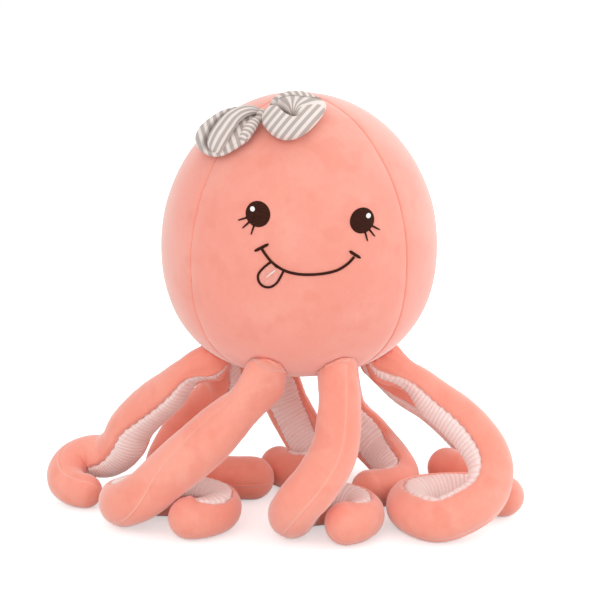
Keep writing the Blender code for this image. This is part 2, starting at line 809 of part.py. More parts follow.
def make_arm(name, arm, coral, pale, parent):
    """One stuffed arm on its pivot: the coral cloth with its filling, and the ribbed strip in its bed."""
    stations = arm_stations(arm)
    pivot = stations[0][0]
    body = add_pivot("arm_" + name + "_pivot", pivot, parent)
    first, last = capped(stations)
    bed = STRIP_THICKNESS + STRIP_GAP
    begin = near_station(stations[1], stations[0], STRIP_END_STEP)
    end = near_station(stations[-1], stations[-2], STRIP_END_STEP)
    inner = stations[1:-1] + [end]
    angles = CORAL_ANGLES + BED_ANGLES
    full = [0.0] * len(angles)
    sunk = [0.0] * len(CORAL_ANGLES) + [bed] * len(BED_ANGLES)
    rings = [section(station, angles, full) for station in (*first, stations[0], begin)]
    rings += [section(station, angles, sunk) for station in inner]
    rings += [section(station, angles, full) for station in (stations[-1], *last)]
    bm = bmesh.new()
    add_loft(bm, rings)
    add_piece("arm_" + name, bm, coral, body, pivot)
    strip_angles = STRIP_INNER_ANGLES + STRIP_OUTER_ANGLES
    depths = [STRIP_THICKNESS] * len(STRIP_INNER_ANGLES) + [0.0] * len(STRIP_OUTER_ANGLES)
    bm = bmesh.new()
    add_loft(bm, [section(station, strip_angles, depths) for station in inner])
    add_piece("ribbed_strip_" + name, bm, pale, body, pivot)


def settle(root):
    """Shift the whole toy so that the middle of its footprint is the origin."""
    bpy.context.view_layer.update()
    spots = []
    for piece in PARTS.objects:
        if piece.type == "MESH":
            spots += [piece.matrix_world @ vert.co for vert in piece.data.vertices]
    for axis in (0, 1):
        low = min(spot[axis] for spot in spots)
        high = max(spot[axis] for spot in spots)
        root.location[axis] = -(low + high) / 2


for old in list(bpy.data.objects):
    bpy.data.objects.remove(old)
PARTS = bpy.data.collections.new("plush_octopus")
bpy.context.scene.collection.children.link(PARTS)


def main():
    root = bpy.data.objects.new("plush_octopus", None)
    PARTS.objects.link(root)
    coral = material("coral_velour", (0.93, 0.36, 0.27), 0.85)
    pale = material("ribbed_cloth", (0.9, 0.66, 0.6), 0.8)
    stuffing = material("stuffing", (0.9, 0.9, 0.88), 0.95)
    striped = material("bow_cloth", (0.62, 0.54, 0.5), 0.8)
    side_span = 180 - FRONT_GORE_SPAN
    make_gore("head_front_gore", 0, FRONT_GORE_SPAN, FACE_TURN_STEP, coral, root)
    make_gore("head_right_gore", 90, side_span, GORE_TURN_STEP, coral, root)
    make_gore("head_back_gore", 180, FRONT_GORE_SPAN, GORE_TURN_STEP, coral, root)
    make_gore("head_left_gore", -90, side_span, GORE_TURN_STEP, coral, root)
    make_head_filling(stuffing, root)
    make_face(root)
    make_bow(striped, striped, root)
    for name, arm in ARMS.items():
        make_arm(name, arm, coral, pale, root)
    settle(root)


main()
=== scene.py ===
"""Looks of the plush octopus: velour head and arms, ribbed inner strips, embroidered face and striped bow."""

import math

import bpy
import numpy as np
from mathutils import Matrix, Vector, noise


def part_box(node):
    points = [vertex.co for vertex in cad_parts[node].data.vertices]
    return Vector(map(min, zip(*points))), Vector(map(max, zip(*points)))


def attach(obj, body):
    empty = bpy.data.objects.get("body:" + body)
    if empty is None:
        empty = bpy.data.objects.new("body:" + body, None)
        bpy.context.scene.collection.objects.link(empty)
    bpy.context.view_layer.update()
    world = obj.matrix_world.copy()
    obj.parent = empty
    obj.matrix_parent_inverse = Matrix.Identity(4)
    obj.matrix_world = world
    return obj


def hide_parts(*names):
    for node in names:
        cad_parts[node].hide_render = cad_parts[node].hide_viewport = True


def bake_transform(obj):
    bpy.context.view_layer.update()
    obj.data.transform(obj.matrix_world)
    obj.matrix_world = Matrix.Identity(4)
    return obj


MM = 0.001
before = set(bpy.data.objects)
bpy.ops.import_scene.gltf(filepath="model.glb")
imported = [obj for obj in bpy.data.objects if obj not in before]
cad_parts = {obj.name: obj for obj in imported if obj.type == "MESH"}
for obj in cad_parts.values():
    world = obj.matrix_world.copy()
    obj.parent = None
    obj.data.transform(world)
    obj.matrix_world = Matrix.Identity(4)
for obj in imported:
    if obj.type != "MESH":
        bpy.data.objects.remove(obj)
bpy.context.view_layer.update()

# The head's axis in the frame; everything is made about the axis and then shifted
filling_low, filling_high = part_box("head_filling")
AXIS = np.array([(filling_low[0] + filling_high[0]) / 2, (filling_low[1] + filling_high[1]) / 2, 0.0])
UP = np.array([0.0, 0.0, 1.0])

HEAD_RADIUS = 120 * MM
HEAD_WIDEST_HEIGHT = 236 * MM
HEAD_ABOVE = 133 * MM
HEAD_BELOW = 111.6 * MM
FULLNESS_ABOVE = 2.0
FULLNESS_BELOW = 2.35
FRONT_GORE_SPAN = 97
CLOTH_THICKNESS = 2.6 * MM

ARM_RADIUS = 20.5 * MM
ROOT_RADIUS = 19 * MM
ROOT_GAP = 0.25 * MM
ROOT_RING_RADIUS = 77 * MM
FLOOR_FLAT_DEPTH = 0.5 * MM
BEND_SHARE = 0.82

BOW_AZIMUTH = -28
BOW_ELEVATION = 57


def ease(value):
    """A smooth step from 0 to 1."""
    value = np.clip(value, 0.0, 1.0)
    return value * value * (3 - 2 * value)


def bump_at(distance, width):
    """A bell of height 1 about a distance of 0."""
    return np.exp(-((distance / width) ** 2))


def wobble(point, size, seed=0.0):
    """Smooth noise from -1 to 1, with lumps about this size."""
    return noise.noise(Vector(point) / size + Vector((seed, seed * 0.7, -seed)))


def unit(vectors):
    """Vectors scaled to length 1."""
    return vectors / np.maximum(np.linalg.norm(vectors, axis=-1, keepdims=True), 1e-12)


# Meshes


def piece_from(name, points, faces, surface, attributes=None):
    """A smooth shaded mesh object from points about the head's axis."""
    mesh = bpy.data.meshes.new(name)
    mesh.from_pydata((np.asarray(points) + AXIS).tolist(), [], faces)
    mesh.shade_smooth()
    mesh.materials.append(surface)
    for key, values in (attributes or {}).items():
        layer = mesh.attributes.new(key, "FLOAT", "POINT")
        layer.data.foreach_set("value", np.asarray(values, np.float32))
    made = bpy.data.objects.new(name, mesh)
    bpy.context.scene.collection.objects.link(made)
    return made


def skin_faces(rings, sides, start=0, closed=True):
    """Quads between rings of points, one after another."""
    faces = []
    turns = sides if closed else sides - 1
    for ring in range(rings - 1):
        low, high = start + ring * sides, start + (ring + 1) * sides
        for side in range(turns):
            after = (side + 1) % sides
            faces.append((low + side, low + after, high + after, high + side))
    return faces


def tube_mesh(name, tubes, surface, attributes=None):
    """Closed skins over rings of points (rings, sides, 3), with a point at each end, as one piece."""
    if not isinstance(tubes, list):
        tubes = [(tubes, attributes or {})]
    all_points, all_faces, full, start = [], [], {}, 0
    for rings, marks in tubes:
        points, faces = tube_parts(rings)
        all_points.append(points)
        all_faces += [tuple(corner + start for corner in face) for face in faces]
        start += len(points)
        for key, values in marks.items():
            flat = np.asarray(values).reshape(-1)
            full.setdefault(key, []).append(np.concatenate([flat, [flat[0], flat[-1]]]))
    full = {key: np.concatenate(values) for key, values in full.items()}
    return piece_from(name, np.vstack(all_points), all_faces, surface, full)


def tube_parts(rings):
    """Points and faces of one closed skin."""
    count, sides, _ = rings.shape
    ends = np.array([rings[0].mean(axis=0), rings[-1].mean(axis=0)])
    points = np.vstack([rings.reshape(-1, 3), ends])
    faces = skin_faces(count, sides)
    first, last = count * sides, count * sides + 1
    faces += [(first, (side + 1) % sides, side) for side in range(sides)]
    base = (count - 1) * sides
    faces += [(last, base + side, base + (side + 1) % sides) for side in range(sides)]
    return points, faces


# Materials


def add_node(tree, kind, **settings):
    """A node with its settings."""
    node = tree.nodes.new(kind)
    for key, value in settings.items():
        setattr(node, key, value)
    return node


class Nodes:
    """Short calls for building a node material."""

    def __init__(self, name, roughness):
        self.material = bpy.data.materials.new(name)
        self.material.use_nodes = True
        self.tree = self.material.node_tree
        self.shader = self.tree.nodes["Principled BSDF"]
        self.shader.inputs["Roughness"].default_value = roughness
        self.place = self.add("ShaderNodeTexCoord").outputs["Object"]

    def add(self, kind, **settings):
        return add_node(self.tree, kind, **settings)

    def join(self, source, target):
        self.tree.links.new(source, target)

    def noise(self, scale, detail=2.0, rough=0.5, stretch=None):
        place = self.place
        if stretch:
            mapping = self.add("ShaderNodeMapping")
            mapping.inputs["Scale"].default_value = stretch
            self.join(place, mapping.inputs["Vector"])
            place = mapping.outputs["Vector"]
        node = self.add("ShaderNodeTexNoise")
        node.inputs["Scale"].default_value = scale
        node.inputs["Detail"].default_value = detail
        node.inputs["Roughness"].default_value = rough
        self.join(place, node.inputs["Vector"])
        return node.outputs["Fac"]

    def attribute(self, name):
        return self.add("ShaderNodeAttribute", attribute_name=name).outputs["Fac"]

    def ranged(self, source, low, high, to_low=0.0, to_high=1.0):
        node = self.add("ShaderNodeMapRange", interpolation_type="SMOOTHSTEP")
        self.join(source, node.inputs["Value"])
        for key, value in zip(("From Min", "From Max", "To Min", "To Max"), (low, high, to_low, to_high)):
            node.inputs[key].default_value = value
        return node.outputs["Result"]

    def mix(self, share, first, second):
        node = self.add("ShaderNodeMix", data_type="RGBA")
        sockets = [item for item in node.inputs if item.type == "RGBA"]
        for value, socket in ((first, sockets[0]), (second, sockets[1])):
            if isinstance(value, tuple):
                socket.default_value = (*value, 1.0)
            else:
                self.join(value, socket)
        self.join(share, node.inputs["Factor"])
        return [item for item in node.outputs if item.type == "RGBA"][0]

    def bump(self, height, distance, strength=1.0):
        node = self.add("ShaderNodeBump")
        node.inputs["Strength"].default_value = strength
        node.inputs["Distance"].default_value = distance
        self.join(height, node.inputs["Height"])
        return node.outputs["Normal"]

    def total(self, first, second, weight=1.0):
        node = self.add("ShaderNodeMath", operation="MULTIPLY_ADD")
        self.join(second, node.inputs[0])
        node.inputs[1].default_value = weight
        self.join(first, node.inputs[2])
        return node.outputs["Value"]

    def sheen(self, weight, roughness, tint):
        self.shader.inputs["Sheen Weight"].default_value = weight
        self.shader.inputs["Sheen Roughness"].default_value = roughness
        self.shader.inputs["Sheen Tint"].default_value = (*tint, 1.0)

    def finish(self, color, normal=None):
        self.join(color, self.shader.inputs["Base Color"])
        if normal is not None:
            self.join(normal, self.shader.inputs["Normal"])
        return self.material


def velour(name, base, deep, light, stitched):
    """Short soft pile: brushed patches, a fine nap and a pale sheen at grazing angles."""
    nodes = Nodes(name, 0.9)
    brushed = nodes.ranged(nodes.noise(16, 3.0, 0.55), 0.35, 0.68)
    patches = nodes.ranged(nodes.noise(34, 2.0, 0.5), 0.52, 0.66, 0.0, 0.3)
    nap = nodes.noise(1100, 2.0, 0.6)
    strokes = nodes.noise(240, 3.0, 0.6, (1.0, 1.0, 0.6))
    color = nodes.mix(patches, nodes.mix(brushed, base, light), deep)
    color = nodes.mix(nodes.ranged(strokes, 0.3, 0.75, 0.0, 0.12), color, deep)
    color = nodes.mix(nodes.ranged(nap, 0.3, 0.7, 0.0, 0.2), color, deep)
    color = nodes.mix(nodes.attribute("seam"), color, stitched)
    nodes.sheen(1.0, 0.45, (1.0, 0.9, 0.87))
    pile = nodes.total(nap, strokes, 0.4)
    return nodes.finish(color, nodes.bump(pile, 0.3 * MM, 0.45))


def ribbed_cloth(name, crest, groove):
    """Gathered pale cloth: pale ribs with painted shade in the grooves between them, darker blotches and a
    fine weave.
    """
    nodes = Nodes(name, 0.75)
    weave = nodes.noise(1500, 2.0, 0.6)
    rib = nodes.ranged(nodes.attribute("rib"), 0.1, 0.75)
    # Painted shade: where the rib height is low the cloth takes the groove colour, for the shade between the
    # ribs
    color = nodes.mix(rib, groove, crest)
    color = nodes.mix(nodes.ranged(nodes.noise(60, 2.0), 0.3, 0.7, 0.0, 0.25), color, groove)
    color = nodes.mix(nodes.ranged(weave, 0.35, 0.7, 0.0, 0.15), color, groove)
    nodes.sheen(0.3, 0.4, (1.0, 0.93, 0.9))
    return nodes.finish(color, nodes.bump(weave, 0.2 * MM, 0.5))


def striped_jersey(name, pale, dark):
    """Knit cloth with even stripes and painted shade in its folds."""
    nodes = Nodes(name, 0.8)
    knit = nodes.noise(1400, 2.0, 0.6)
    color = nodes.mix(nodes.ranged(nodes.attribute("stripe"), -0.45, 0.35), pale, dark)
    color = nodes.mix(nodes.ranged(nodes.noise(500, 3.0), 0.3, 0.75, 0.0, 0.12), color, dark)
    # Painted shade: the shade attribute darkens the cloth toward a near-black fold colour along creases and
    # under rolls
    color = nodes.mix(nodes.attribute("shade"), color, (0.10, 0.062, 0.055))
    nodes.sheen(0.15, 0.4, (1.0, 0.97, 0.94))
    return nodes.finish(color, nodes.bump(knit, 0.25 * MM, 0.6))


def thread(name, base, light, roughness=0.45):
    """Satin stitch: fine parallel threads with a faint shine."""
    nodes = Nodes(name, roughness)
    strands = nodes.noise(900, 2.0, 0.5, (0.25, 1.0, 2.2))
    color = nodes.mix(nodes.ranged(strands, 0.35, 0.7), base, light)
    nodes.shader.inputs["Specular IOR Level"].default_value = 0.15
    return nodes.finish(color, nodes.bump(strands, 0.2 * MM, 0.5))


def stuffing_fibre(name):
    """Loose white fibre."""
    nodes = Nodes(name, 0.95)
    clumps = nodes.noise(120, 6.0, 0.7)
    color = nodes.mix(clumps, (0.86, 0.86, 0.84), (0.95, 0.95, 0.93))
    return nodes.finish(color, nodes.bump(clumps, 1.5 * MM, 0.8))


CORAL = velour("coral_velour_pile", (0.93, 0.335, 0.258), (0.85, 0.25, 0.18), (0.95, 0.395, 0.31),
               (0.85, 0.25, 0.18))
CORAL_ARM = velour("coral_velour_arm", (0.96, 0.34, 0.25), (0.87, 0.23, 0.155), (0.98, 0.41, 0.315),
                   (0.98, 0.50, 0.41))
# The ribbed cloth's second colour is painted groove shade, and also its darker blotchy tone
RIBBED = ribbed_cloth("ribbed_strip_cloth", (0.98, 0.87, 0.84), (0.93, 0.66, 0.61))
STRIPED = striped_jersey("striped_jersey", (0.86, 0.77, 0.72), (0.49, 0.41, 0.38))
BROWN = thread("brown_thread", (0.028, 0.006, 0.003), (0.055, 0.014, 0.006), 0.8)
WHITE = thread("white_thread", (0.86, 0.85, 0.83), (0.95, 0.94, 0.93), 0.35)
PINK = thread("pink_thread", (0.80, 0.31, 0.245), (0.88, 0.40, 0.33), 0.6)
FIBRE = stuffing_fibre("stuffing_fibre")


# Head


def halved(low, high, below, steps=40):
    """Where below turns false between low and high, found by halving."""
    for _ in range(steps):
        middle = (low + high) / 2
        low, high = (middle, high) if below(middle) else (low, middle)
    return low


def half_of_head(above):
    """Height and fullness of the head's upper or lower half."""
    return (HEAD_ABOVE, FULLNESS_ABOVE) if above else (HEAD_BELOW, FULLNESS_BELOW)


def head_point(angle):
    """Radius and height of the head's outline at an angle above its widest level."""
    reach, fullness = half_of_head(angle > 0)
    across = math.cos(math.radians(angle)) ** (2.0 / fullness)
    rise = abs(math.sin(math.radians(angle))) ** (2.0 / fullness)
    return HEAD_RADIUS * across, HEAD_WIDEST_HEIGHT + (1 if angle > 0 else -1) * reach * rise


def head_radius_at(height):
    """Radius of the head's outer surface at a height above the floor."""
    rise = height - HEAD_WIDEST_HEIGHT
    reach, fullness = half_of_head(rise > 0)
    left = max(0.0, 1.0 - (abs(rise) / reach) ** fullness)
    return HEAD_RADIUS * left ** (1.0 / fullness)


def head_normal(radius, height):
    """Outward direction of the head's outline, as a radial and an upward share."""
    rise = height - HEAD_WIDEST_HEIGHT
    reach, fullness = half_of_head(rise > 0)
    out = (radius / HEAD_RADIUS) ** (fullness - 1.0) / HEAD_RADIUS
    up = math.copysign((abs(rise) / reach) ** (fullness - 1.0) / reach, rise)
    size = math.hypot(out, up)
    return out / size, up / size


def outward(azimuth):
    """Level direction at an azimuth, where 0 is the front and 90 the right."""
    turn = math.radians(azimuth)
    return np.array([math.sin(turn), -math.cos(turn), 0.0])


SEAMS = [FRONT_GORE_SPAN / 2, 180 - FRONT_GORE_SPAN / 2, 180 + FRONT_GORE_SPAN / 2, -FRONT_GORE_SPAN / 2]


def seam_distance(azimuth, radius):
    """Distance along the cloth to the nearest seam."""
    turns = [abs((azimuth - seam + 180) % 360 - 180) for seam in SEAMS]
    return math.radians(min(turns)) * radius


def head_lift(place, azimuth, radius):
    """How far the stuffed cloth stands out from the plain outline."""
    away = seam_distance(azimuth, radius)
    steady = min(1.0, radius / (25 * MM))
    groove = 1.1 * MM * bump_at(away, 0.9 * MM) + 0.4 * MM * bump_at(away, 5 * MM)
    pucker = 0.3 * MM * wobble(place, 7 * MM, 3.0) * bump_at(away, 6 * MM)
    soft = 0.7 * MM * wobble(place, 75 * MM, 1.0) + 0.25 * MM * wobble(place, 28 * MM, 2.0)
    return soft + (pucker - groove) * steady


def head_skin(azimuth, angle, depth=0.0):
    """A point of the head's cloth."""
    radius, height = head_point(angle)
    out, up = head_normal(radius, height)
    side = outward(azimuth)
    place = side * radius + UP * height
    lift = head_lift(place, azimuth, radius) - depth
    return place + (side * out + UP * up) * lift


# Distances in millimetres from a gore's sewn edge, at which its columns of points stand
EDGE_STEPS = [0.12, 0.5, 1.0, 1.6, 2.4, 3.6, 5.4, 8.0, 12.0]
GORE_END = 89.6
GORE_ROWS = 84
STUFFING_END = 86
STUFFING_ROWS = 40
STUFFING_GAP = 1.2 * MM


def gore_turns(span):
    """Azimuths across a gore, close together at its sewn edges."""
    near = [math.degrees(step * MM / HEAD_RADIUS) for step in EDGE_STEPS]
    middle = np.linspace(near[-1], span - near[-1], int(span / 2.5))
    return near[:-1] + middle.tolist() + [span - turn for turn in reversed(near[:-1])]


def dress(piece, node):
    """Hang a piece on the head and hide the part of its node that it stands in for."""
    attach(piece, "head")
    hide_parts(node)


def make_gore(name, node, middle, span):
    """One sewn panel of the head, a closed layer of cloth rolled in at its seams."""
    turns = [middle - span / 2 + turn for turn in gore_turns(span)]
    angles = np.linspace(-GORE_END, GORE_END, GORE_ROWS)
    outer = [[head_skin(turn, angle) for turn in turns] for angle in angles]
    inner = [[head_skin(turn, angle, CLOTH_THICKNESS) for turn in turns] for angle in angles]
    rows, columns = len(angles), len(turns)
    points = np.array(outer + inner).reshape(-1, 3)
    faces = skin_faces(rows, columns, 0, False)
    faces += [tuple(reversed(face)) for face in skin_faces(rows, columns, rows * columns, False)]
    shift = rows * columns
    for row in range(rows - 1):
        low, high = row * columns, (row + 1) * columns
        faces.append((low, high, high + shift, low + shift))
        low, high = low + columns - 1, high + columns - 1
        faces.append((low, low + shift, high + shift, high))
    for column in range(columns - 1):
        faces.append((column, column + shift, column + 1 + shift, column + 1))
        low = (rows - 1) * columns + column
        faces.append((low, low + 1, low + 1 + shift, low + shift))
    dress(piece_from(name, points, faces, CORAL), node)


def make_stuffing():
    """The ball of fibre that fills the head."""
    rings = []
    for angle in np.linspace(-STUFFING_END, STUFFING_END, STUFFING_ROWS):
        rings.append([head_skin(turn, angle, CLOTH_THICKNESS + STUFFING_GAP) for turn in range(0, 360, 8)])
    dress(tube_mesh("head_stuffing", np.array(rings), FIBRE), "head_filling")


def make_head():
    """The four gores and what they are stuffed with."""
    side = 180 - FRONT_GORE_SPAN
    make_gore("head_front_panel", "head_front_gore", 0, FRONT_GORE_SPAN)
    make_gore("head_right_panel", "head_right_gore", 90, side)
    make_gore("head_back_panel", "head_back_gore", 180, FRONT_GORE_SPAN)
    make_gore("head_left_panel", "head_left_gore", -90, side)
    make_stuffing()


# Face, in shares of the head's radius from its middle

LEFT_EYE = (-0.274, 0.401)
RIGHT_EYE = (0.425, 0.349)
EYE_RADIUS = 10.0 * MM
LEFT_HIGHLIGHT = (-0.307, 0.43)
RIGHT_HIGHLIGHT = (0.463, 0.375)
HIGHLIGHT_RADIUS = 1.95 * MM
LEFT_LASH_HEADINGS = (200, 223, 251)
RIGHT_LASH_HEADINGS = (-31, -52, -75)
LASH_REACH = 17.2 * MM
MOUTH = (
    (-0.252, 0.183), (-0.216, 0.132), (-0.177, 0.088), (-0.1, 0.039), (-0.015, 0.016),
    (0.076, 0.01), (0.182, 0.017), (0.266, 0.037), (0.331, 0.076), (0.372, 0.117),
)
MOUTH_TICKS = (((-0.296, 0.16), (-0.203, 0.211)), ((0.338, 0.157), (0.413, 0.104)))
TONGUE_OUTLINE = (
    (-0.177, 0.1), (-0.2, 0.083), (-0.242, 0.046), (-0.274, -0.001), (-0.27, -0.046), (-0.242, -0.076),
    (-0.2, -0.082), (-0.157, -0.058), (-0.129, -0.018), (-0.108, 0.024), (-0.098, 0.046),
)
TONGUE_TOP = (-0.155, 0.06)
TONGUE_MIDDLE = ((-0.155, 0.04), (-0.217, -0.01))
# Rows of the tongue's fill: share of the way from its middle to its outline, and lift in millimetres
TONGUE_ROWS = ((0.3, 0.1), (0.9, 0.1), (0.94, 0.45), (0.8, 0.65), (0.5, 0.75), (0.2, 0.8))
DOME_SHARES = (0.25, 0.5, 0.7, 0.84, 0.93, 0.98, 1.0)
DOME_UNDER_SHARES = (0.3, 0.8, 0.995)
EYE_LIFT = 0.2 * MM
EYE_HEIGHT = 1.3 * MM
HIGHLIGHT_LIFT = 1.45 * MM
HIGHLIGHT_HEIGHT = 0.5 * MM
STITCH_LIFT = 0.15 * MM
MOUTH_WIDTH = 2.3 * MM
TICK_WIDTH = 2.4 * MM
TONGUE_LINE_WIDTH = 1.9 * MM
TONGUE_MIDDLE_WIDTH = 0.9 * MM
LASH_WIDTHS = (1.7 * MM, 1.0 * MM)


def on_face(across, up, lift):
    """A point in front of the head, at a lift above its cloth."""
    height = HEAD_WIDEST_HEIGHT + up
    radius = head_radius_at(height)
    azimuth = math.degrees(math.asin(across / radius))
    side = outward(azimuth)
    out, rise = head_normal(radius, height)
    place = side * radius + UP * height
    return place + (side * out + UP * rise) * (head_lift(place, azimuth, radius) + lift)


def curve_through(points, steps=8):
    """Many points along a smooth curve through 2-D or 3-D points."""
    points = [np.asarray(point, float) for point in points]
    ends = [points[0] * 2 - points[1], *points, points[-1] * 2 - points[-2]]
    fine = []
    for p0, p1, p2, p3 in zip(ends, ends[1:], ends[2:], ends[3:]):
        t1 = math.sqrt(np.linalg.norm(p1 - p0))
        t2 = t1 + math.sqrt(np.linalg.norm(p2 - p1))
        t3 = t2 + math.sqrt(np.linalg.norm(p3 - p2))
        for step in range(steps):
            t = t1 + (t2 - t1) * step / steps
            a1 = p0 + (p1 - p0) * (t / t1)
            a2 = p1 + (p2 - p1) * ((t - t1) / (t2 - t1))
            a3 = p2 + (p3 - p2) * ((t - t2) / (t3 - t2))
            b1 = a1 + (a2 - a1) * (t / t2)
            b2 = a2 + (a3 - a2) * ((t - t1) / (t3 - t1))
            fine.append(b1 + (b2 - b1) * ((t - t1) / (t2 - t1)))
    return np.array([*fine, points[-1]])


def dome(name, middle, radius, height, base, surface, node):
    """A round raised patch of satin stitch."""
    rows = [(share, base * 0.4) for share in DOME_UNDER_SHARES]
    rows += [(share, base + height * (1 - share**4) ** 0.5) for share in reversed(DOME_SHARES)]
    rings = []
    for share, rise in rows:
        ring = []
        for turn in range(0, 360, 8):
            across = middle[0] * HEAD_RADIUS + share * radius * math.cos(math.radians(turn))
            up = middle[1] * HEAD_RADIUS + share * radius * math.sin(math.radians(turn))
            ring.append(on_face(across, up, rise))
        rings.append(ring)
    dress(tube_mesh(name, np.array(rings), surface), node)


def stroke_rings(line, widths, height, base):
    """Rings of a raised stitched line on the face."""
    rings = []
    for index, (across, up) in enumerate(line):
        before, after = line[max(index - 1, 0)], line[min(index + 1, len(line) - 1)]
        run = unit(after - before)
        side = np.array([-run[1], run[0]])
        ring = []
        for turn in range(0, 360, 36):
            offset = math.cos(math.radians(turn)) * widths[index] / 2
            rise = math.sin(math.radians(turn))
            lift = base + height * (0.35 + 0.65 * rise if rise > 0 else 0.35 + 0.3 * rise)
            ring.append(on_face(across + side[0] * offset, up + side[1] * offset, lift))
        rings.append(ring)
    return np.array(rings)


def strokes(name, lines, surface, node, slot, height=1.0 * MM, base=STITCH_LIFT):
    """One or more stitched lines as one piece; each line is its points and its widths."""
    points, faces = [], []
    for line, widths in lines:
        rings = stroke_rings(line, widths, height, base)
        count, sides, _ = rings.shape
        start = len(points)
        points += rings.reshape(-1, 3).tolist()
        faces += skin_faces(count, sides, start)
        faces.append(tuple(start + side for side in reversed(range(sides))))
        faces.append(tuple(start + (count - 1) * sides + side for side in range(sides)))
    dress(piece_from(name, points, faces, surface), node)


def even_line(shares, width, steps=6):
    """A stitched line through points in shares of the head's radius, narrower at its two ends."""
    line = curve_through(shares, steps) * HEAD_RADIUS
    widths = np.full(len(line), width)
    widths[0] = widths[-1] = width * 0.55
    return line, widths


def make_lashes(side, eye, headings):
    """The three lashes of an eye."""
    for place, heading in zip(("upper", "middle", "lower"), headings):
        turn = math.radians(heading)
        reaches = np.linspace(EYE_RADIUS - 0.4 * MM, LASH_REACH, 8)
        middle = np.array(eye) * HEAD_RADIUS
        line = middle + reaches[:, None] * np.array([math.cos(turn), math.sin(turn)])
        widths = np.interp(reaches, (reaches[0], reaches[-1]), LASH_WIDTHS)
        widths[-1] *= 0.5
        name = side + "_lash_" + place
        strokes(name + "_stitch", [(line, widths)], BROWN, name, "face_thread", 0.8 * MM)


def make_tongue():
    """The tongue's outline, its fill and its pale middle line."""
    outline = even_line(TONGUE_OUTLINE, TONGUE_LINE_WIDTH)
    strokes("tongue_outline_stitch", [outline], BROWN, "tongue_outline", "face_thread")
    ring = curve_through((*TONGUE_OUTLINE, TONGUE_TOP), 4) * HEAD_RADIUS
    middle = ring.mean(axis=0)
    rings = []
    for share, lift in TONGUE_ROWS:
        rings.append([on_face(*(middle + (spot - middle) * share), lift * MM) for spot in ring])
    dress(tube_mesh("tongue_patch", np.array(rings), PINK), "tongue")
    pale = even_line(TONGUE_MIDDLE, TONGUE_MIDDLE_WIDTH, 8)
    strokes("tongue_middle_stitch", [pale], WHITE, "tongue_middle_line", "pale_thread", 0.45 * MM, 0.8 * MM)


def make_face():
    """Eyes with their highlights and lashes, the mouth and the tongue."""
    sides = (("left", LEFT_EYE, LEFT_HIGHLIGHT, LEFT_LASH_HEADINGS),
             ("right", RIGHT_EYE, RIGHT_HIGHLIGHT, RIGHT_LASH_HEADINGS))
    for side, eye, _, _ in sides:
        dome(side + "_eye_patch", eye, EYE_RADIUS, EYE_HEIGHT, EYE_LIFT, BROWN, side + "_eye")
    for side, _, highlight, _ in sides:
        dome(side + "_highlight_patch", highlight, HIGHLIGHT_RADIUS, HIGHLIGHT_HEIGHT, HIGHLIGHT_LIFT, WHITE,
             side + "_highlight")
    for side, eye, _, headings in sides:
        make_lashes(side, eye, headings)
    lines = [even_line(MOUTH, MOUTH_WIDTH)]
    lines += [even_line(tick, TICK_WIDTH) for tick in MOUTH_TICKS]
    strokes("mouth_stitch", lines, BROWN, "mouth", "face_thread", 1.1 * MM)
    make_tongue()


# Bow, in millimetres on the plane that touches the head at the knot

LEFT_LOBE = (
    (-2, 2), (-9, 5), (-17, 5.5), (-25, 5), (-34, 3.5), (-43, -1), (-51, -7), (-57, -15), (-57, -24),
    (-52, -31), (-45, -36.5), (-37, -40.5), (-29, -42.5), (-21, -42), (-14, -38.5), (-7, -33),
    (-2, -27), (0.5, -20), (0.5, -12), (-1, -4),
)
RIGHT_LOBE = (
    (1.5, -3), (2, 4), (4, 12), (7, 19.5), (12, 25), (19, 28.5), (27, 31), (35, 34), (41, 35),
    (45, 29), (46.5, 20), (46, 10), (44.5, 0), (41.5, -9), (37, -15.5), (31, -19.5), (24, -20.5),
    (17, -18.5), (10.5, -14.5), (5, -9.5),
)
LEFT_MIDDLE = (-27.0, -18.0)
RIGHT_MIDDLE = (27.0, 0.5)
FLAP_LINE = ((-38, -42), (-34, -34), (-31, -28), (-27.5, -19), (-23, -11.5), (-18, -4), (-12, 2), (-4, 4))
CREASE_LINE = ((0, 7), (5, 9), (12, 7.5), (18, 3.5), (23.5, 0), (29, -0.5))
ROLL_LINE = ((3, 10), (7, 12.5), (13, 14), (19, 16), (26, 18), (32, 20), (39, 25))
DIMPLE = (27.0, 0.5)
# Which way across the stripes of each lobe, and how far from stripe to stripe
LEFT_ACROSS = np.array([0.95, 0.07, 0.3])
LEFT_PITCH = 6.27 * MM
RIGHT_ACROSS = np.array([0.77, -0.155, -0.62])
RIGHT_PITCH = 5.5 * MM
FAN_PITCH = 24.0
LOBE_RINGS = 40
LOBE_SIDES = 210
LOBE_RIM = 8.0
LOBE_CROWN = 12.5
LOBE_UNDER = 7.2
LOBE_LEAST = 2.2


def bow_frame():
    """Point where the bow sits on the head, and its level, rising and outward directions."""
    def lower(angle):
        out, up = head_normal(*head_point(angle))
        return math.degrees(math.atan2(up, out)) < BOW_ELEVATION

    radius, height = head_point(halved(0.0, 90.0, lower))
    side, tilt = outward(BOW_AZIMUTH), math.radians(BOW_ELEVATION)
    normal = side * math.cos(tilt) + UP * math.sin(tilt)
    level = unit(np.cross(UP, normal))
    return side * radius + UP * height, level, np.cross(normal, level)


SEAT, LEVEL, RISE = bow_frame()


def above_head(across, deep, lift):
    """A point of the bow, in millimetres on its plane and above the head's cloth."""
    middle = UP * HEAD_WIDEST_HEIGHT
    ray = unit(SEAT + (LEVEL * across + RISE * deep) * MM - middle)

    def inside(reach):
        place = middle + ray * reach
        return math.hypot(place[0], place[1]) < head_radius_at(place[2])

    surface = middle + ray * halved(0.0, HEAD_RADIUS + HEAD_ABOVE, inside, 26)
    out, up = head_normal(math.hypot(surface[0], surface[1]), surface[2])
    flat = unit(np.array([surface[0], surface[1], 0.0]))
    return surface + (flat * out + UP * up) * lift * MM


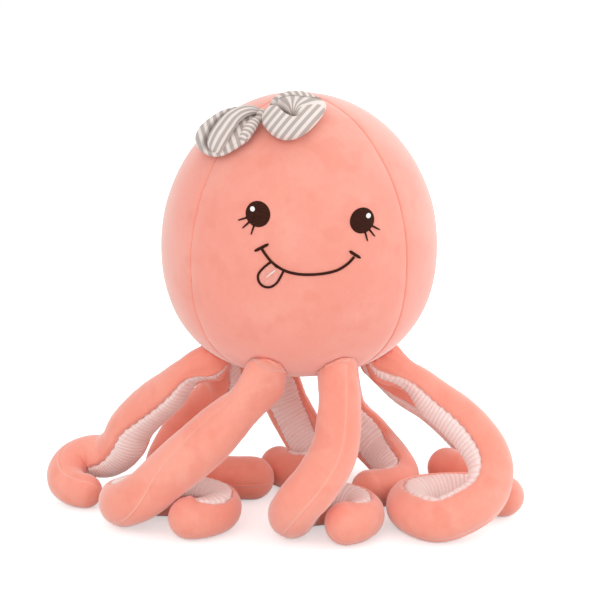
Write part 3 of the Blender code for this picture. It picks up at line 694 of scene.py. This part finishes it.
def line_distance(spots, line):
    """Signed distance of points from a line of points, positive on its right, and the share along it."""
    line = curve_through(line, 6)
    starts, runs = line[:-1], np.diff(line, axis=0)
    offset = spots[:, None, :] - starts[None]
    along = np.clip((offset * runs).sum(-1) / (runs * runs).sum(-1), 0, 1)
    nearest = offset - along[..., None] * runs
    away = np.linalg.norm(nearest, axis=-1)
    pick = away.argmin(axis=1)
    rows = np.arange(len(spots))
    cross = runs[pick, 0] * offset[rows, pick, 1] - runs[pick, 1] * offset[rows, pick, 0]
    share = (pick + along[rows, pick]) / len(runs)
    return -np.sign(cross) * away[rows, pick], share


def lobe_grid(outline, middle):
    """Points of a lobe from its rim to its middle, and each point's share of the way to the rim."""
    ring = curve_through((*outline, outline[0]), 12)[:-1]
    closed = np.vstack([ring, ring[:1]])
    places = lengths_along(closed)
    rim = along_line(closed, places, np.linspace(0, places[-1], LOBE_SIDES, endpoint=False))
    shares = np.sin(np.linspace(math.pi / 2, 0.03, LOBE_RINGS))
    spots = np.asarray(middle) + (rim[None] - np.asarray(middle)) * shares[:, None, None]
    return spots, np.repeat(shares[:, None], LOBE_SIDES, axis=1)


def left_folds(spots):
    """Height of the left lobe under its flap, and the painted shade along the flap's edge."""
    flap, along = line_distance(spots, FLAP_LINE)
    fade = ease(along / 0.15)
    return -7.0 * ease((flap + 4) / 6.0) * fade, 0.75 * bump_at(flap + 1.5, 2.6) * fade


def left_stripes(_, places):
    """Stripes of the left lobe, which slant down to the right."""
    return (places - SEAT) @ LEFT_ACROSS / LEFT_PITCH


def right_folds(spots):
    """Height of the right lobe's crease and roll, and the painted shade in its crease, dimple and roll."""
    crease, along = line_distance(spots, CREASE_LINE)
    roll, _ = line_distance(spots, ROLL_LINE)
    offset = spots - np.array(DIMPLE)
    dimple = np.linalg.norm(offset, axis=1)
    lift = -8.5 * bump_at(crease, 2.6) * ease(along / 0.1) - 4.5 * bump_at(dimple, 4.0)
    lift += 2.4 * bump_at(crease - 6.5, 4.5) * (1 - along) - 5.0 * ease((-roll - 1.0) / 5.0)
    shade = 0.85 * bump_at(crease, 1.5) * ease(along / 0.1) + 0.5 * bump_at(dimple, 2.4)
    shade += 0.6 * bump_at(roll + 0.5, 1.4)
    return lift, np.minimum(shade, 0.9)


def right_stripes(spots, places):
    """Stripes of the right lobe, which gather into the dimple above the crease."""
    crease, _ = line_distance(spots, CREASE_LINE)
    offset = spots - np.array(DIMPLE)
    turn = np.degrees(np.arctan2(offset[:, 0], offset[:, 1]))
    above = (crease < 0) & (turn < 40) & (turn > -100)
    dimple = above_head(DIMPLE[0], DIMPLE[1], 14.0)
    return np.where(above, turn / FAN_PITCH, (places - dimple) @ RIGHT_ACROSS / RIGHT_PITCH)


def lobe_shell(outline, middle, folds, stripes_at):
    """One padded loop of the bow: a crowned top with its folds, and an underside along the head."""
    spots, shares = lobe_grid(outline, middle)
    flat, below = spots.reshape(-1, 2), spots[4::4].reshape(-1, 2)
    crown, sunk = (np.sqrt(np.maximum(1 - part.reshape(-1) ** 2, 0)) for part in (shares, shares[4::4]))
    lift, shade = folds(flat)
    near_knot = 1 - 0.5 * bump_at(np.linalg.norm(flat, axis=1), 10)
    soft = np.array([wobble((x, y, 0.0), 9.0, 5.0) * 0.5 for x, y in flat])
    top = LOBE_RIM + (LOBE_CROWN * crown**0.8 + (lift + soft) * np.minimum(1, crown * 1.8)) * near_knot
    upper = np.array([above_head(x, y, rise) for (x, y), rise in zip(flat, np.maximum(top, LOBE_LEAST))])
    lower = np.array([above_head(x, y, LOBE_RIM - LOBE_UNDER * share**0.8)
                      for (x, y), share in zip(below, sunk)])

    def stacked(under, over, *shape):
        under, over = (part.reshape(-1, LOBE_SIDES, *shape) for part in (under, over))
        return np.concatenate([under[::-1], over])

    striped = stacked(stripes_at(below, lower), stripes_at(flat, upper))
    marks = {"stripe": np.cos(striped * math.tau), "shade": stacked(np.zeros(len(below)), shade)}
    return stacked(lower, upper, 3), marks


def roll_shell(path, lengthwise, pitch, slant, shade):
    """A soft rolled fold of the bow: each stop of its path is across, deep, lift, width and thickness.

    Stripes run along it, this many round it, or else across it at this pitch and slant.
    """
    stops = curve_through(path, 10)
    spots, lifts, widths, thick = stops[:, :2], stops[:, 2], stops[:, 3], stops[:, 4]
    places = lengths_along(spots)
    run = unit(np.gradient(spots, axis=0))
    side = np.stack([-run[:, 1], run[:, 0]], axis=1)
    end = np.minimum(places, places[-1] - places) / 4.0
    ends = np.sqrt(np.maximum(1 - np.maximum(1 - end, 0) ** 2, 0.02))
    rings, stripes, shades = [], [], []
    for index, spot in enumerate(spots):
        ring = []
        for turn in range(0, 360, 8):
            angle = math.radians(turn)
            offset = math.cos(angle) * widths[index] / 2 * ends[index]
            rise = math.sin(angle) * thick[index] / 2 * ends[index]
            place = spot + side[index] * offset
            rise += 0.35 * wobble((place[0], place[1], rise), 6.0, 8.0)
            ring.append(above_head(place[0], place[1], max(lifts[index] + rise, 0.8)))
            stripes.append(lengthwise * turn / 360 if lengthwise else
                           (places[index] + slant * offset) / pitch)
            # Painted shade on the roll's underside and at its start by the knot
            shades.append(shade * max(0.0, -math.sin(angle)) + shade * math.exp(-places[index] / 6.0))
        rings.append(ring)
    marks = {"stripe": np.cos(np.array(stripes) * math.tau), "shade": np.minimum(shades, 0.9)}
    return np.array(rings), marks


FLAP_PATH = (
    (0, 2.5, 8, 4, 5), (-6, 0, 13, 7, 8), (-12, -5.5, 16, 11, 10), (-17, -13, 17, 15, 11),
    (-21, -22, 16, 18, 12), (-26, -31, 13, 19, 13), (-31, -39, 9, 17, 12),
)
TUCK_PATH = ((0.5, -1, 7, 3.5, 5), (-1, -7, 8.5, 6, 8), (-2.5, -14, 9, 8.5, 10), (-4.5, -22, 8, 8, 10),
             (-7, -29, 6.5, 6, 7))
ROLL_PATH = ((3, 9, 9, 4, 6), (8, 14.5, 12.5, 7, 8), (15, 19.5, 14, 9, 9), (24, 23.5, 14, 10, 9),
             (33, 27, 12, 9, 8), (40, 30, 9.5, 6, 7))
KNOT_PATH = ((-0.5, -6.5, 6, 5, 6), (-0.2, -3, 8, 6.5, 9), (0.3, 1, 9, 6.5, 9.5), (0.8, 5, 7, 5, 7))


def make_bow():
    """The two lobes with their rolled folds, and the knot's band."""
    left = [lobe_shell(LEFT_LOBE, LEFT_MIDDLE, left_folds, left_stripes),
            roll_shell(FLAP_PATH, 9, 0.0, 0.0, 0.35), roll_shell(TUCK_PATH, 0, 3.4, 0.3, 0.3)]
    right = [lobe_shell(RIGHT_LOBE, RIGHT_MIDDLE, right_folds, right_stripes),
             roll_shell(ROLL_PATH, 0, 5.4, 0.5, 0.25)]
    knot = [roll_shell(KNOT_PATH, 0, 3.0, 0.2, 0.4)]
    for name, node, shells, fill in (("bow_left_lobe", "bow_left_loop", left, 0.5),
                                     ("bow_right_lobe", "bow_right_loop", right, 0.5),
                                     ("bow_knot_band", "bow_knot", knot, 0.6)):
        dress(tube_mesh(name, shells, STRIPED), node)


# Arms: azimuth of the root, slimness of the tip, the points that the strip faces from places along the arm
# on, and the route, in shares of the arm's radius and of the root's height

UNDER_HEAD = (0.0, 0.0, 2.82)
ARMS = {
    "left": (-77, 0.73, ((0.3, (0, -5, 2)), (0.5, (-9.2, -0.8, -2.5)), (0.9, (-9.2, -0.8, -2.5)),
                         (1, (-9.2, -0.3, 0.5))), (
        (-4.68, -0.59, 0.96), (-5.76, -0.15, 0.79), (-6.68, 0.24, 0.62), (-7.37, 0.49, 0.45),
        (-7.8, 0.68, 0.27), (-8.54, 0.98, 0.14), (-9.37, 1.22, 0.12), (-10, 0.98, 0.09),
        (-10.29, 0.39, 0.06), (-10.2, -0.29, 0.03), (-9.71, -0.78, 0.01), (-9.32, -0.85, 0))),
    "front_left": (-19, 0.9, ((0.2, UNDER_HEAD), (0.36, (-5.37, -2.83, 2)), (0.6, (-4.9, -3.3, 5.5))), (
        (-2.73, -3.41, 0.8), (-4.1, -3.71, 0.56), (-5.46, -3.85, 0.33), (-6.54, -3.85, 0.13),
        (-7.32, -3.41, 0.03), (-7.51, -2.59, 0), (-6.98, -1.9, 0), (-5.95, -1.76, 0),
        (-4.78, -1.9, 0), (-3.9, -2.2, 0), (-3.37, -2.88, 0), (-3.41, -3.71, 0),
        (-4.1, -4.34, 0), (-4.54, -4.44, 0))),
    "front_right": (26, 0.9, ((0.35, UNDER_HEAD), (0.6, (1.37, -3.9, 2.6))), (
        (1.66, -4, 0.78), (1.37, -4.59, 0.54), (0.68, -5.07, 0.33), (0, -5.17, 0.17),
        (-0.29, -4.68, 0.03), (-0.2, -3.8, 0), (0.39, -3.02, 0), (1.46, -2.78, 0),
        (2.39, -3.22, 0), (2.68, -4.1, 0), (2.34, -4.83, 0), (1.95, -5.07, 0))),
    "right": (74, 0.9, ((0.2, (1.5, -6, 2)), (0.5, (6.59, -3.02, 2.8))), (
        (4.93, -1.27, 0.93), (5.9, -1.66, 0.81), (6.73, -2.15, 0.7), (7.37, -2.63, 0.58),
        (7.85, -3.17, 0.44), (7.95, -3.66, 0.32), (7.61, -4.15, 0.16), (6.68, -4.54, 0.05),
        (5.76, -4.73, 0), (4.98, -4.2, 0), (4.63, -3.32, 0), (4.83, -2.34, 0),
        (5.66, -1.76, 0), (6.73, -1.51, 0), (7.8, -1.61, 0), (8.78, -1.85, 0))),
    "back_right": (106, 0.9, ((0.35, UNDER_HEAD), (0.6, (7.66, 2.24, 1.3))), (
        (4.68, 1.85, 0.76), (5.9, 2.63, 0.56), (6.98, 3.22, 0.34), (7.71, 3.41, 0.18),
        (8.39, 3.12, 0.05), (8.68, 2.34, 0), (8.44, 1.56, 0), (7.71, 1.17, 0),
        (7.02, 1.37, 0), (6.68, 1.76, 0))),
    "rear_right": (154, 0.85, ((0.35, (3.2, -10, 4)), (0.65, (3.41, 0.59, 1.5))), (
        (2.15, 3.8, 0.38), (3.02, 3.51, 0.2), (3.76, 2.78, 0.07), (4.15, 1.66, 0.05),
        (4.44, 0.68, 0), (4, -0.39, 0), (3.12, -0.88, 0))),
    "rear_left": (-164, 0.9, ((0.35, UNDER_HEAD), (0.6, (0.1, 2.1, 1.5))), (
        (-1.02, 4.24, 0.8), (-0.88, 4.54, 0.6), (-0.59, 4.54, 0.42), (-0.1, 4.2, 0.25),
        (0.44, 3.56, 0.1), (0.88, 2.78, 0.01), (0.93, 1.95, 0), (0.39, 1.41, 0),
        (-0.34, 1.46, 0), (-0.88, 2, 0))),
    "back_left": (-113, 0.95, ((0.2, UNDER_HEAD), (0.45, (-3.9, 1.95, 1))), (
        (-3.27, 1.85, 0.74), (-4.2, 2.34, 0.52), (-5.07, 2.54, 0.31), (-5.61, 2.24, 0.15),
        (-5.9, 1.37, 0.03), (-5.37, 0.49, 0), (-4.44, 0.24, 0), (-3.32, 0.24, 0),
        (-2.05, 0.24, 0))),
}
# How a root differs from the arm: the share that it is thinner by, and how much higher it is
PLAIN_ROOT = (0.06, 0.0)
OTHER_ROOTS = {"left": (0.4, 7.5 * MM), "right": (0.4, 7.5 * MM), "front_left": (0.3, 7.0 * MM)}
ROOT_REACH = 34 * MM
# Where an arm is thicker: the share that it is thicker by, the middle of that part and its reach
SWELLINGS = {"left": (0.14, 0.74, 0.2), "front_left": (0.12, 0.2, 0.17)}
ROOT_SWELL = 0.75
FRONT_RISE = 28 * MM
FRONT_SHIFT = 3 * MM
OTHER_RISE = 5 * MM

RING_STEP = 2.6 * MM
RIB_PITCH = 3.5 * MM
RIB_STEP = 0.52 * MM
RIB_DEPTH = 0.8 * MM
STRIP_DIP = 1.4 * MM
STRIP_TUCK = 2.6 * MM
STRIP_LOWEST = 3.6 * MM
STRIP_UNDERSIDE = 3.9 * MM
STRIP_BED = 4.2 * MM
STRIP_HALF_ANGLE = 56.0
STRIP_POINT = 24 * MM
EDGE_ROLL = 2.0 * MM
RIDGE_RISE = 0.8 * MM
RIDGE_DISH = 0.9 * MM
FLOOR_SOFTNESS = 0.9 * MM


def root_place(azimuth):
    """Pivot of an arm, and the head's outward direction there."""
    def inner(angle):
        radius, height = head_point(angle)
        return radius + head_normal(radius, height)[0] * (ROOT_RADIUS + ROOT_GAP) < ROOT_RING_RADIUS

    radius, height = head_point(halved(-89.0, 0.0, inner))
    out, up = head_normal(radius, height)
    normal = outward(azimuth) * out + UP * up
    return outward(azimuth) * radius + UP * height + normal * (ROOT_RADIUS + ROOT_GAP), normal


def lengths_along(points):
    """Length along a line at each of its points."""
    return np.concatenate([[0.0], np.cumsum(np.linalg.norm(np.diff(points, axis=0), axis=1))])


def along_line(points, places, wanted):
    """Values at places along a line, read at other places."""
    return np.stack([np.interp(wanted, places, points[:, axis]) for axis in range(points.shape[1])], axis=1)


def smoothed(values, passes):
    """Values spread over their neighbours."""
    for _ in range(passes):
        padded = np.vstack([values[:1], values, values[-1:]])
        values = (padded[:-2] + 2 * values + padded[2:]) / 4
    return values


def across_run(values, run):
    """The part of vectors that lies across the direction of the line."""
    return values - run * (values * run).sum(-1, keepdims=True)


def arm_line(name):
    """Middle line of an arm with its radius, directions and bend, a millimetre apart."""
    azimuth, tip_share, aims, route = ARMS[name]
    pivot, _ = root_place(azimuth)
    rest = ARM_RADIUS - FLOOR_FLAT_DEPTH
    points = [pivot]
    for across, deep, lift in route:
        points.append(np.array([across * ARM_RADIUS, deep * ARM_RADIUS, rest + lift * (pivot[2] - rest)]))
    fine = curve_through(points, 24)
    places = lengths_along(fine)
    length = places[-1]
    wanted = np.linspace(0, length, int(length / MM) + 1)
    line = along_line(fine, places, wanted)
    share = wanted / length
    tip = tip_share * ARM_RADIUS
    slim = ROOT_RADIUS + (ARM_RADIUS - ROOT_RADIUS) * ease(share / 0.3)
    full = ARM_RADIUS + (tip - ARM_RADIUS) * ease((share - 0.45) / 0.5)
    near_root = bump_at(wanted, ROOT_REACH)
    thinner, lifted = OTHER_ROOTS.get(name, PLAIN_ROOT)
    radius = np.where(share < 0.3, slim, full) * (1 - thinner * near_root)
    if name in SWELLINGS:
        swell, place, reach = SWELLINGS[name]
        radius = radius * (1 + swell * bump_at(share - place, reach))
    line[:, 2] += lifted * near_root
    line[:, 2] -= (ARM_RADIUS - radius) * (1 - ease((line[:, 2] - rest) / ARM_RADIUS))
    run = unit(smoothed(unit(np.gradient(line, axis=0)), 12))
    aim = np.tile(np.array(aims[0][1], float), (len(line), 1))
    for (start, _), (end, after) in zip(aims, aims[1:]):
        aim += (np.array(after) - aim) * ease((share - start) / (end - start))[:, None]
    facing = aim * ARM_RADIUS - line
    for _ in range(60):
        facing = smoothed(unit(across_run(facing, run)), 8)
    facing = unit(across_run(facing, run))
    bend = across_run(smoothed(np.gradient(run, axis=0) / (wanted[1] - wanted[0]), 30), run)
    ends = ease(wanted / (9 * MM)) * ease((length - wanted) / (12 * MM))
    return wanted, line, run, radius, facing, bend * ends[:, None]


def at_places(data, wanted):
    """The arm's line read at other places along it."""
    places, line, run, radius, facing, bend = data
    run = unit(along_line(run, places, wanted))
    facing = unit(across_run(along_line(facing, places, wanted), run))
    return (along_line(line, places, wanted), run, np.interp(wanted, places, radius), facing,
            along_line(bend, places, wanted))


def ring_points(stations, angles, offsets):
    """Points of rings at angles from the strip's middle, pressed in where the arm bends or lies."""
    line, run, radius, facing, bend = stations
    side = np.cross(run, facing)
    turn = np.radians(angles)[..., None]
    reach = (radius[:, None] + offsets)[..., None]
    spoke = (facing[:, None] * np.cos(turn) + side[:, None] * np.sin(turn)) * reach
    tight = np.linalg.norm(bend, axis=1)
    inward = unit(bend)
    allowed = np.minimum(BEND_SHARE / np.maximum(tight * radius, 1e-9), 1.0)
    toward = np.maximum((spoke * inward[:, None]).sum(-1), 0.0)
    spoke = spoke - inward[:, None] * (toward * (1 - allowed)[:, None])[..., None]
    points = line[:, None] + spoke
    height = points[..., 2]
    eased = np.maximum(height + FLOOR_SOFTNESS, 0.0) ** 2 / (4 * FLOOR_SOFTNESS)
    points[..., 2] = np.where(height < FLOOR_SOFTNESS, eased, height)
    return points


# Angles round an arm: the coral cloth from one edge of the strip to the other, then the bed of the strip
HALF = [57.2, 58.2, 60, 62.5, 66, 71, 78, 87, 97, 108, 120, 132, 144, 155, 164, 170.5, 174.5, 177, 178.7]
CORAL_ANGLES = np.array(HALF + [180.0] + [360 - angle for angle in reversed(HALF)])
BED_ANGLES = np.array([304.5, 318, 332, 346, 360, 374, 388, 402, 415.5])


def strip_half_angle(places, length):
    """Half the strip's width as an angle: even, then running to a round point before the arm's tip."""
    left = np.clip((length - 3 * MM - places) / STRIP_POINT, 0.0, 1.0)
    scallop = 1.6 * np.sin(places / (8.6 * MM) * math.tau) * ease(places / (10 * MM))
    opened = 0.3 + 0.7 * ease((places + 12 * MM) / (60 * MM))
    return (STRIP_HALF_ANGLE * opened + scallop) * np.sqrt(np.maximum(1 - (1 - left) ** 2, 0.0))


# Rings of an arm's round ends, and how far the strip runs over the root's
CAP_ANGLES = (8, 17, 26, 35, 44, 53, 62, 70, 77, 83, 88)
CAP_STRIP_ANGLE = 60.0


def with_caps(stations):
    """The arm's rings with those of its two round ends."""
    first, last = [], []
    for turn in np.radians(CAP_ANGLES):
        for index, sign, ends in ((0, -1, first), (-1, 1, last)):
            line, run, radius, facing, _ = (item[index] for item in stations)
            ends.append((line + run * sign * radius * math.sin(turn), run, radius * math.cos(turn), facing,
                         np.zeros(3)))
    return [np.array([*before[::-1], *item, *after]) for item, before, after in
            zip(stations, zip(*first), zip(*last))]


def make_arm(name, seed):
    """An arm's velour tube and its ribbed strip."""
    data = arm_line(name)
    length = data[0][-1]
    places = np.linspace(0, length, int(length / RING_STEP))
    stations = at_places(data, places)
    full = with_caps(stations)
    caps = len(CAP_ANGLES)
    spans = np.concatenate([np.full(caps, -1.0), places, np.full(caps, length + 1.0)])
    half = strip_half_angle(spans, length)
    half[:caps] = half[caps]
    sunk = np.ones((len(spans), 1))
    sunk[:caps, 0] = 1 - ease((np.array(CAP_ANGLES[::-1]) - CAP_STRIP_ANGLE + 4) / 12)
    coral = 180 + (CORAL_ANGLES - 180)[None] * ((180 - half) / (180 - STRIP_HALF_ANGLE))[:, None]
    bed = 360 + (BED_ANGLES - 360)[None] * (half / STRIP_HALF_ANGLE)[:, None]
    angles = np.concatenate([coral, bed], axis=1)
    radius = full[2][:, None]
    from_edge = np.radians(180 - half[:, None] - np.abs(coral - 180)) * radius
    past_ridge = np.radians(coral - 180) * radius
    roll = -EDGE_ROLL * bump_at(from_edge, 1.5 * MM) * sunk
    ridge = RIDGE_RISE * bump_at(past_ridge, 0.7 * MM) - RIDGE_DISH * bump_at(past_ridge, 3.2 * MM)
    narrow = np.minimum(1.0, half / 12)[:, None]
    offsets = np.concatenate([roll * narrow + ridge, np.full(bed.shape, -STRIP_BED) * sunk * narrow], axis=1)
    points = ring_points(full, angles, offsets)
    points = seat_root(rumple(points, full, spans, angles, coral.shape[1], seed), name)
    seam = 0.55 * bump_at(past_ridge - 1.0 * MM, 0.7 * MM) + 0.35 * bump_at(from_edge, 1.2 * MM)
    seam = np.concatenate([seam, np.zeros(bed.shape)], axis=1)
    skin = tube_mesh("arm_" + name + "_velour", points, CORAL_ARM, {"seam": seam})
    ribs, crest = make_strip(data, length)
    # The strip's rib height drives the painted shade in its grooves
    strip = tube_mesh("ribbed_strip_" + name + "_cloth", seat_root(ribs, name), RIBBED, {"rib": crest})
    pivot, way = root_place(ARMS[name][0])[0] + AXIS, stations[1][0]
    parts = ((skin, "arm_" + name, "coral_velour"), (strip, "ribbed_strip_" + name, "ribbed_cloth"))
    for piece, node, slot in parts:
        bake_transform(piece)
        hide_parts(node)


def rumple(points, stations, spans, angles, coral_count, seed):
    """Soft folds across the arm, deeper inside its bends, and gathers at its root."""
    line, _, radius, _, bend = stations
    tight = np.linalg.norm(bend, axis=1) * radius
    inward = unit(bend)
    for ring in range(len(line)):
        for side in range(coral_count):
            spoke = points[ring, side] - line[ring]
            reach = math.sqrt(spoke @ spoke)
            if reach < 1e-6:
                continue
            spoke = spoke / reach
            inside = max(0.0, float(spoke @ inward[ring])) * min(1.0, float(tight[ring]) * 1.4)
            turn = math.radians(angles[ring, side])
            spot = (spans[ring] / (8.5 * MM), math.cos(turn) * 1.1, math.sin(turn) * 1.1)
            fold = wobble(spot, 1.0, seed) * (0.28 + 0.75 * inside)
            broad = wobble(spot, 4.5, seed + 9) * 0.7
            near_root = bump_at(max(spans[ring], 0.0), 17 * MM)
            gather = math.cos(turn * 9 + 1.3 * math.sin(turn * 3 + seed)) * near_root
            floor = min(1.0, max(0.0, (points[ring, side, 2] - 1 * MM) / (4 * MM)))
            points[ring, side] += spoke * (fold + broad + gather) * MM * floor
    return points


def outside_head(point, gap):
    """The point, moved out of the head where it is in it."""
    flat = math.hypot(point[0], point[1])
    rise = point[2] - HEAD_WIDEST_HEIGHT
    reach, fullness = half_of_head(rise > 0)
    if abs(rise) > reach + gap:
        return point
    level = (flat / HEAD_RADIUS) ** fullness + (abs(rise) / reach) ** fullness
    out = fullness * (flat / HEAD_RADIUS) ** (fullness - 1) / HEAD_RADIUS
    up = math.copysign(fullness * (abs(rise) / reach) ** (fullness - 1) / reach, rise)
    size = math.hypot(out, up)
    away = (level - 1) / size
    if away >= gap:
        return point
    side = np.array([point[0], point[1], 0.0]) / max(flat, 1e-9)
    return point + (side * out + UP * up) / size * (gap - away)


def seat_root(points, name):
    """Press the arm's round root against the head, where it is sewn on."""
    azimuth = ARMS[name][0]
    pivot, normal = root_place(azimuth)
    front = abs(azimuth) < 60
    away = outward(0) if front else UP
    climb = unit(away - normal * float(away @ normal))
    rise = UP * FRONT_RISE + away * FRONT_SHIFT if front else climb * OTHER_RISE
    for ring in range(len(points)):
        for side in range(points.shape[1]):
            offset = points[ring, side] - pivot
            toward = float(offset @ -normal)
            if toward > 0:
                points[ring, side] += -normal * toward * ROOT_SWELL
            near = math.exp(-((math.sqrt(offset @ offset) / ROOT_REACH) ** 4))
            points[ring, side] += rise * near * ease(float(offset @ climb + 4 * MM) / (18 * MM))
            for _ in range(4):
                points[ring, side] = outside_head(points[ring, side], 0.2 * MM)
    return points


def make_strip(data, length):
    """The ribbed strip along the arm's inner side, its ribs even on the strip itself."""
    places, _, _, radius, facing, bend = data
    inner = np.maximum(1 - (bend * facing).sum(-1) * radius, 0.3)
    gathered = np.concatenate([[0.0], np.cumsum((inner[1:] + inner[:-1]) / 2 * np.diff(places))])
    stop = np.interp(length - 3.5 * MM, places, gathered)
    steps = np.linspace(0.0, stop, int(stop / RIB_STEP))
    spans = np.interp(steps, gathered, places)
    stations = at_places(data, spans)
    cap = np.arange(CAP_STRIP_ANGLE, 0.0, -math.degrees(RIB_STEP / ROOT_RADIUS))
    turns = np.radians(cap)[:, None]
    middle, run, radius, facing, _ = (item[0] for item in stations)
    ones = np.ones((len(cap), 1))
    before = (middle - run * radius * np.sin(turns), run * ones, (radius * np.cos(turns))[:, 0],
              facing * ones, np.zeros((len(cap), 3)))
    stations = [np.concatenate([one, two]) for one, two in zip(before, stations)]
    steps = np.concatenate([-turns[:, 0] * ROOT_RADIUS, steps])
    spans = np.concatenate([np.zeros(len(cap)), spans])
    half = np.maximum(strip_half_angle(spans, length) - 0.6, 0.4)
    across = np.array([-1.0, -0.97, -0.9, -0.75, -0.5, -0.25, 0.0, 0.25, 0.5, 0.75, 0.9, 0.97, 1.0])
    under = np.array([0.98, 0.5, 0.0, -0.5, -0.98])
    angles = np.concatenate([across, under])[None] * half[:, None]
    rib = (np.abs(np.cos(steps / RIB_PITCH * math.pi)) ** 0.7)[:, None]
    width = (np.radians(half) * stations[2])[:, None] * (1 - np.abs(across))
    tucked = STRIP_TUCK * bump_at(width, 1.3 * MM)
    top = -0.5 * MM - tucked - STRIP_DIP * (1 - across**2) + RIB_DEPTH * (rib - 1)
    flat = np.zeros((len(spans), len(under)))
    offsets = np.hstack([np.maximum(top, -STRIP_LOWEST), flat - STRIP_UNDERSIDE])
    # The second result is the rib height, which the cloth reads to paint shade into the grooves
    return ring_points(stations, angles, offsets), np.hstack([np.repeat(rib, len(across), 1), flat])


# Stage

FLOOR_SIZE = 6.0
FLOOR_COLOR = (0.80, 0.83, 0.84, 1.0)
# The floor's own light, from one distance to another
FLOOR_FADE = (0.25, 0.9, 0.5, 1.0)
WORLD_LIGHT = 0.84
LAMP_AIM = Vector((0.0, 0.0, 0.18))
LAMPS = (
    ("key", (-0.9, -1.5, 1.7), 1.3, 4.9),
    ("fill", (1.75, 0.35, 0.7), 1.2, 9),
    ("low_front", (0.1, -1.6, 0.35), 1.4, 4.6),
    ("top", (0.2, 0.5, 1.9), 1.4, 3.6),
)
# The photograph's view: how far the camera stands from the head's axis, and how far down it looks
CAMERA_LENS = 102.42
CAMERA_PLACE = np.array([0.000876, -1.45544, 0.54923])
CAMERA_DOWN = 14


def make_floor():
    """Pale floor that keeps the shadow and fades to white further off."""
    mesh = bpy.data.meshes.new("floor")
    size = FLOOR_SIZE
    corners = [(-size, -size, 0), (size, -size, 0), (size, size, 0), (-size, size, 0)]
    mesh.from_pydata(corners, [], [(0, 1, 2, 3)])
    floor = bpy.data.objects.new("floor", mesh)
    bpy.context.scene.collection.objects.link(floor)
    nodes = Nodes("pale_floor", 0.9)
    nodes.shader.inputs["Base Color"].default_value = FLOOR_COLOR
    nodes.shader.inputs["Emission Color"].default_value = (1.0, 1.0, 1.0, 1.0)
    reach = nodes.add("ShaderNodeVectorMath", operation="LENGTH")
    nodes.join(nodes.place, reach.inputs[0])
    lift = nodes.add("ShaderNodeMath", operation="MULTIPLY")
    nodes.join(nodes.add("ShaderNodeLightPath").outputs["Is Camera Ray"], lift.inputs[0])
    nodes.join(nodes.ranged(reach.outputs["Value"], *FLOOR_FADE), lift.inputs[1])
    nodes.join(lift.outputs["Value"], nodes.shader.inputs["Emission Strength"])
    mesh.materials.append(nodes.material)


def make_world():
    """White to the eye, and a plain level of soft light on the object."""
    world = bpy.data.worlds.new("studio")
    bpy.context.scene.world = world
    world.use_nodes = True
    tree = world.node_tree
    rays = add_node(tree, "ShaderNodeLightPath").outputs
    seen = rays["Is Camera Ray"]
    for kind in ("Is Glossy Ray", "Is Transmission Ray"):
        either = add_node(tree, "ShaderNodeMath", operation="MAXIMUM")
        tree.links.new(seen, either.inputs[0])
        tree.links.new(rays[kind], either.inputs[1])
        seen = either.outputs["Value"]
    strength = add_node(tree, "ShaderNodeMapRange")
    strength.inputs["To Min"].default_value = WORLD_LIGHT
    strength.inputs["To Max"].default_value = 1.0
    tree.links.new(seen, strength.inputs["Value"])
    background = tree.nodes["Background"]
    background.inputs["Color"].default_value = (1.0, 1.0, 1.0, 1.0)
    tree.links.new(strength.outputs["Result"], background.inputs["Strength"])


def add_lamp(name, place, size, power):
    """A round soft lamp that points at the object."""
    lamp = bpy.data.lights.new(name, "AREA")
    lamp.shape = "DISK"
    lamp.size = size
    lamp.energy = power
    made = bpy.data.objects.new(name, lamp)
    made.location = place
    made.rotation_mode = "QUATERNION"
    made.rotation_quaternion = (LAMP_AIM - Vector(place)).to_track_quat("-Z", "Y")
    bpy.context.scene.collection.objects.link(made)


def make_camera():
    """The camera at the photograph's place."""
    camera = bpy.data.cameras.new("camera")
    camera.sensor_width = 36.0
    camera.lens = CAMERA_LENS
    made = bpy.data.objects.new("camera", camera)
    made.location = CAMERA_PLACE + AXIS
    made.rotation_euler = (math.radians(90 - CAMERA_DOWN), 0.0, 0.0)
    bpy.context.scene.collection.objects.link(made)
    bpy.context.scene.camera = made


make_camera()
make_head()
make_face()
make_bow()
for number, arm_name in enumerate(ARMS):
    make_arm(arm_name, 11.0 + number * 3.7)
make_floor()
make_world()
for lamp_facts in LAMPS:
    add_lamp(*lamp_facts)
bpy.context.scene.view_settings.view_transform = "Standard"
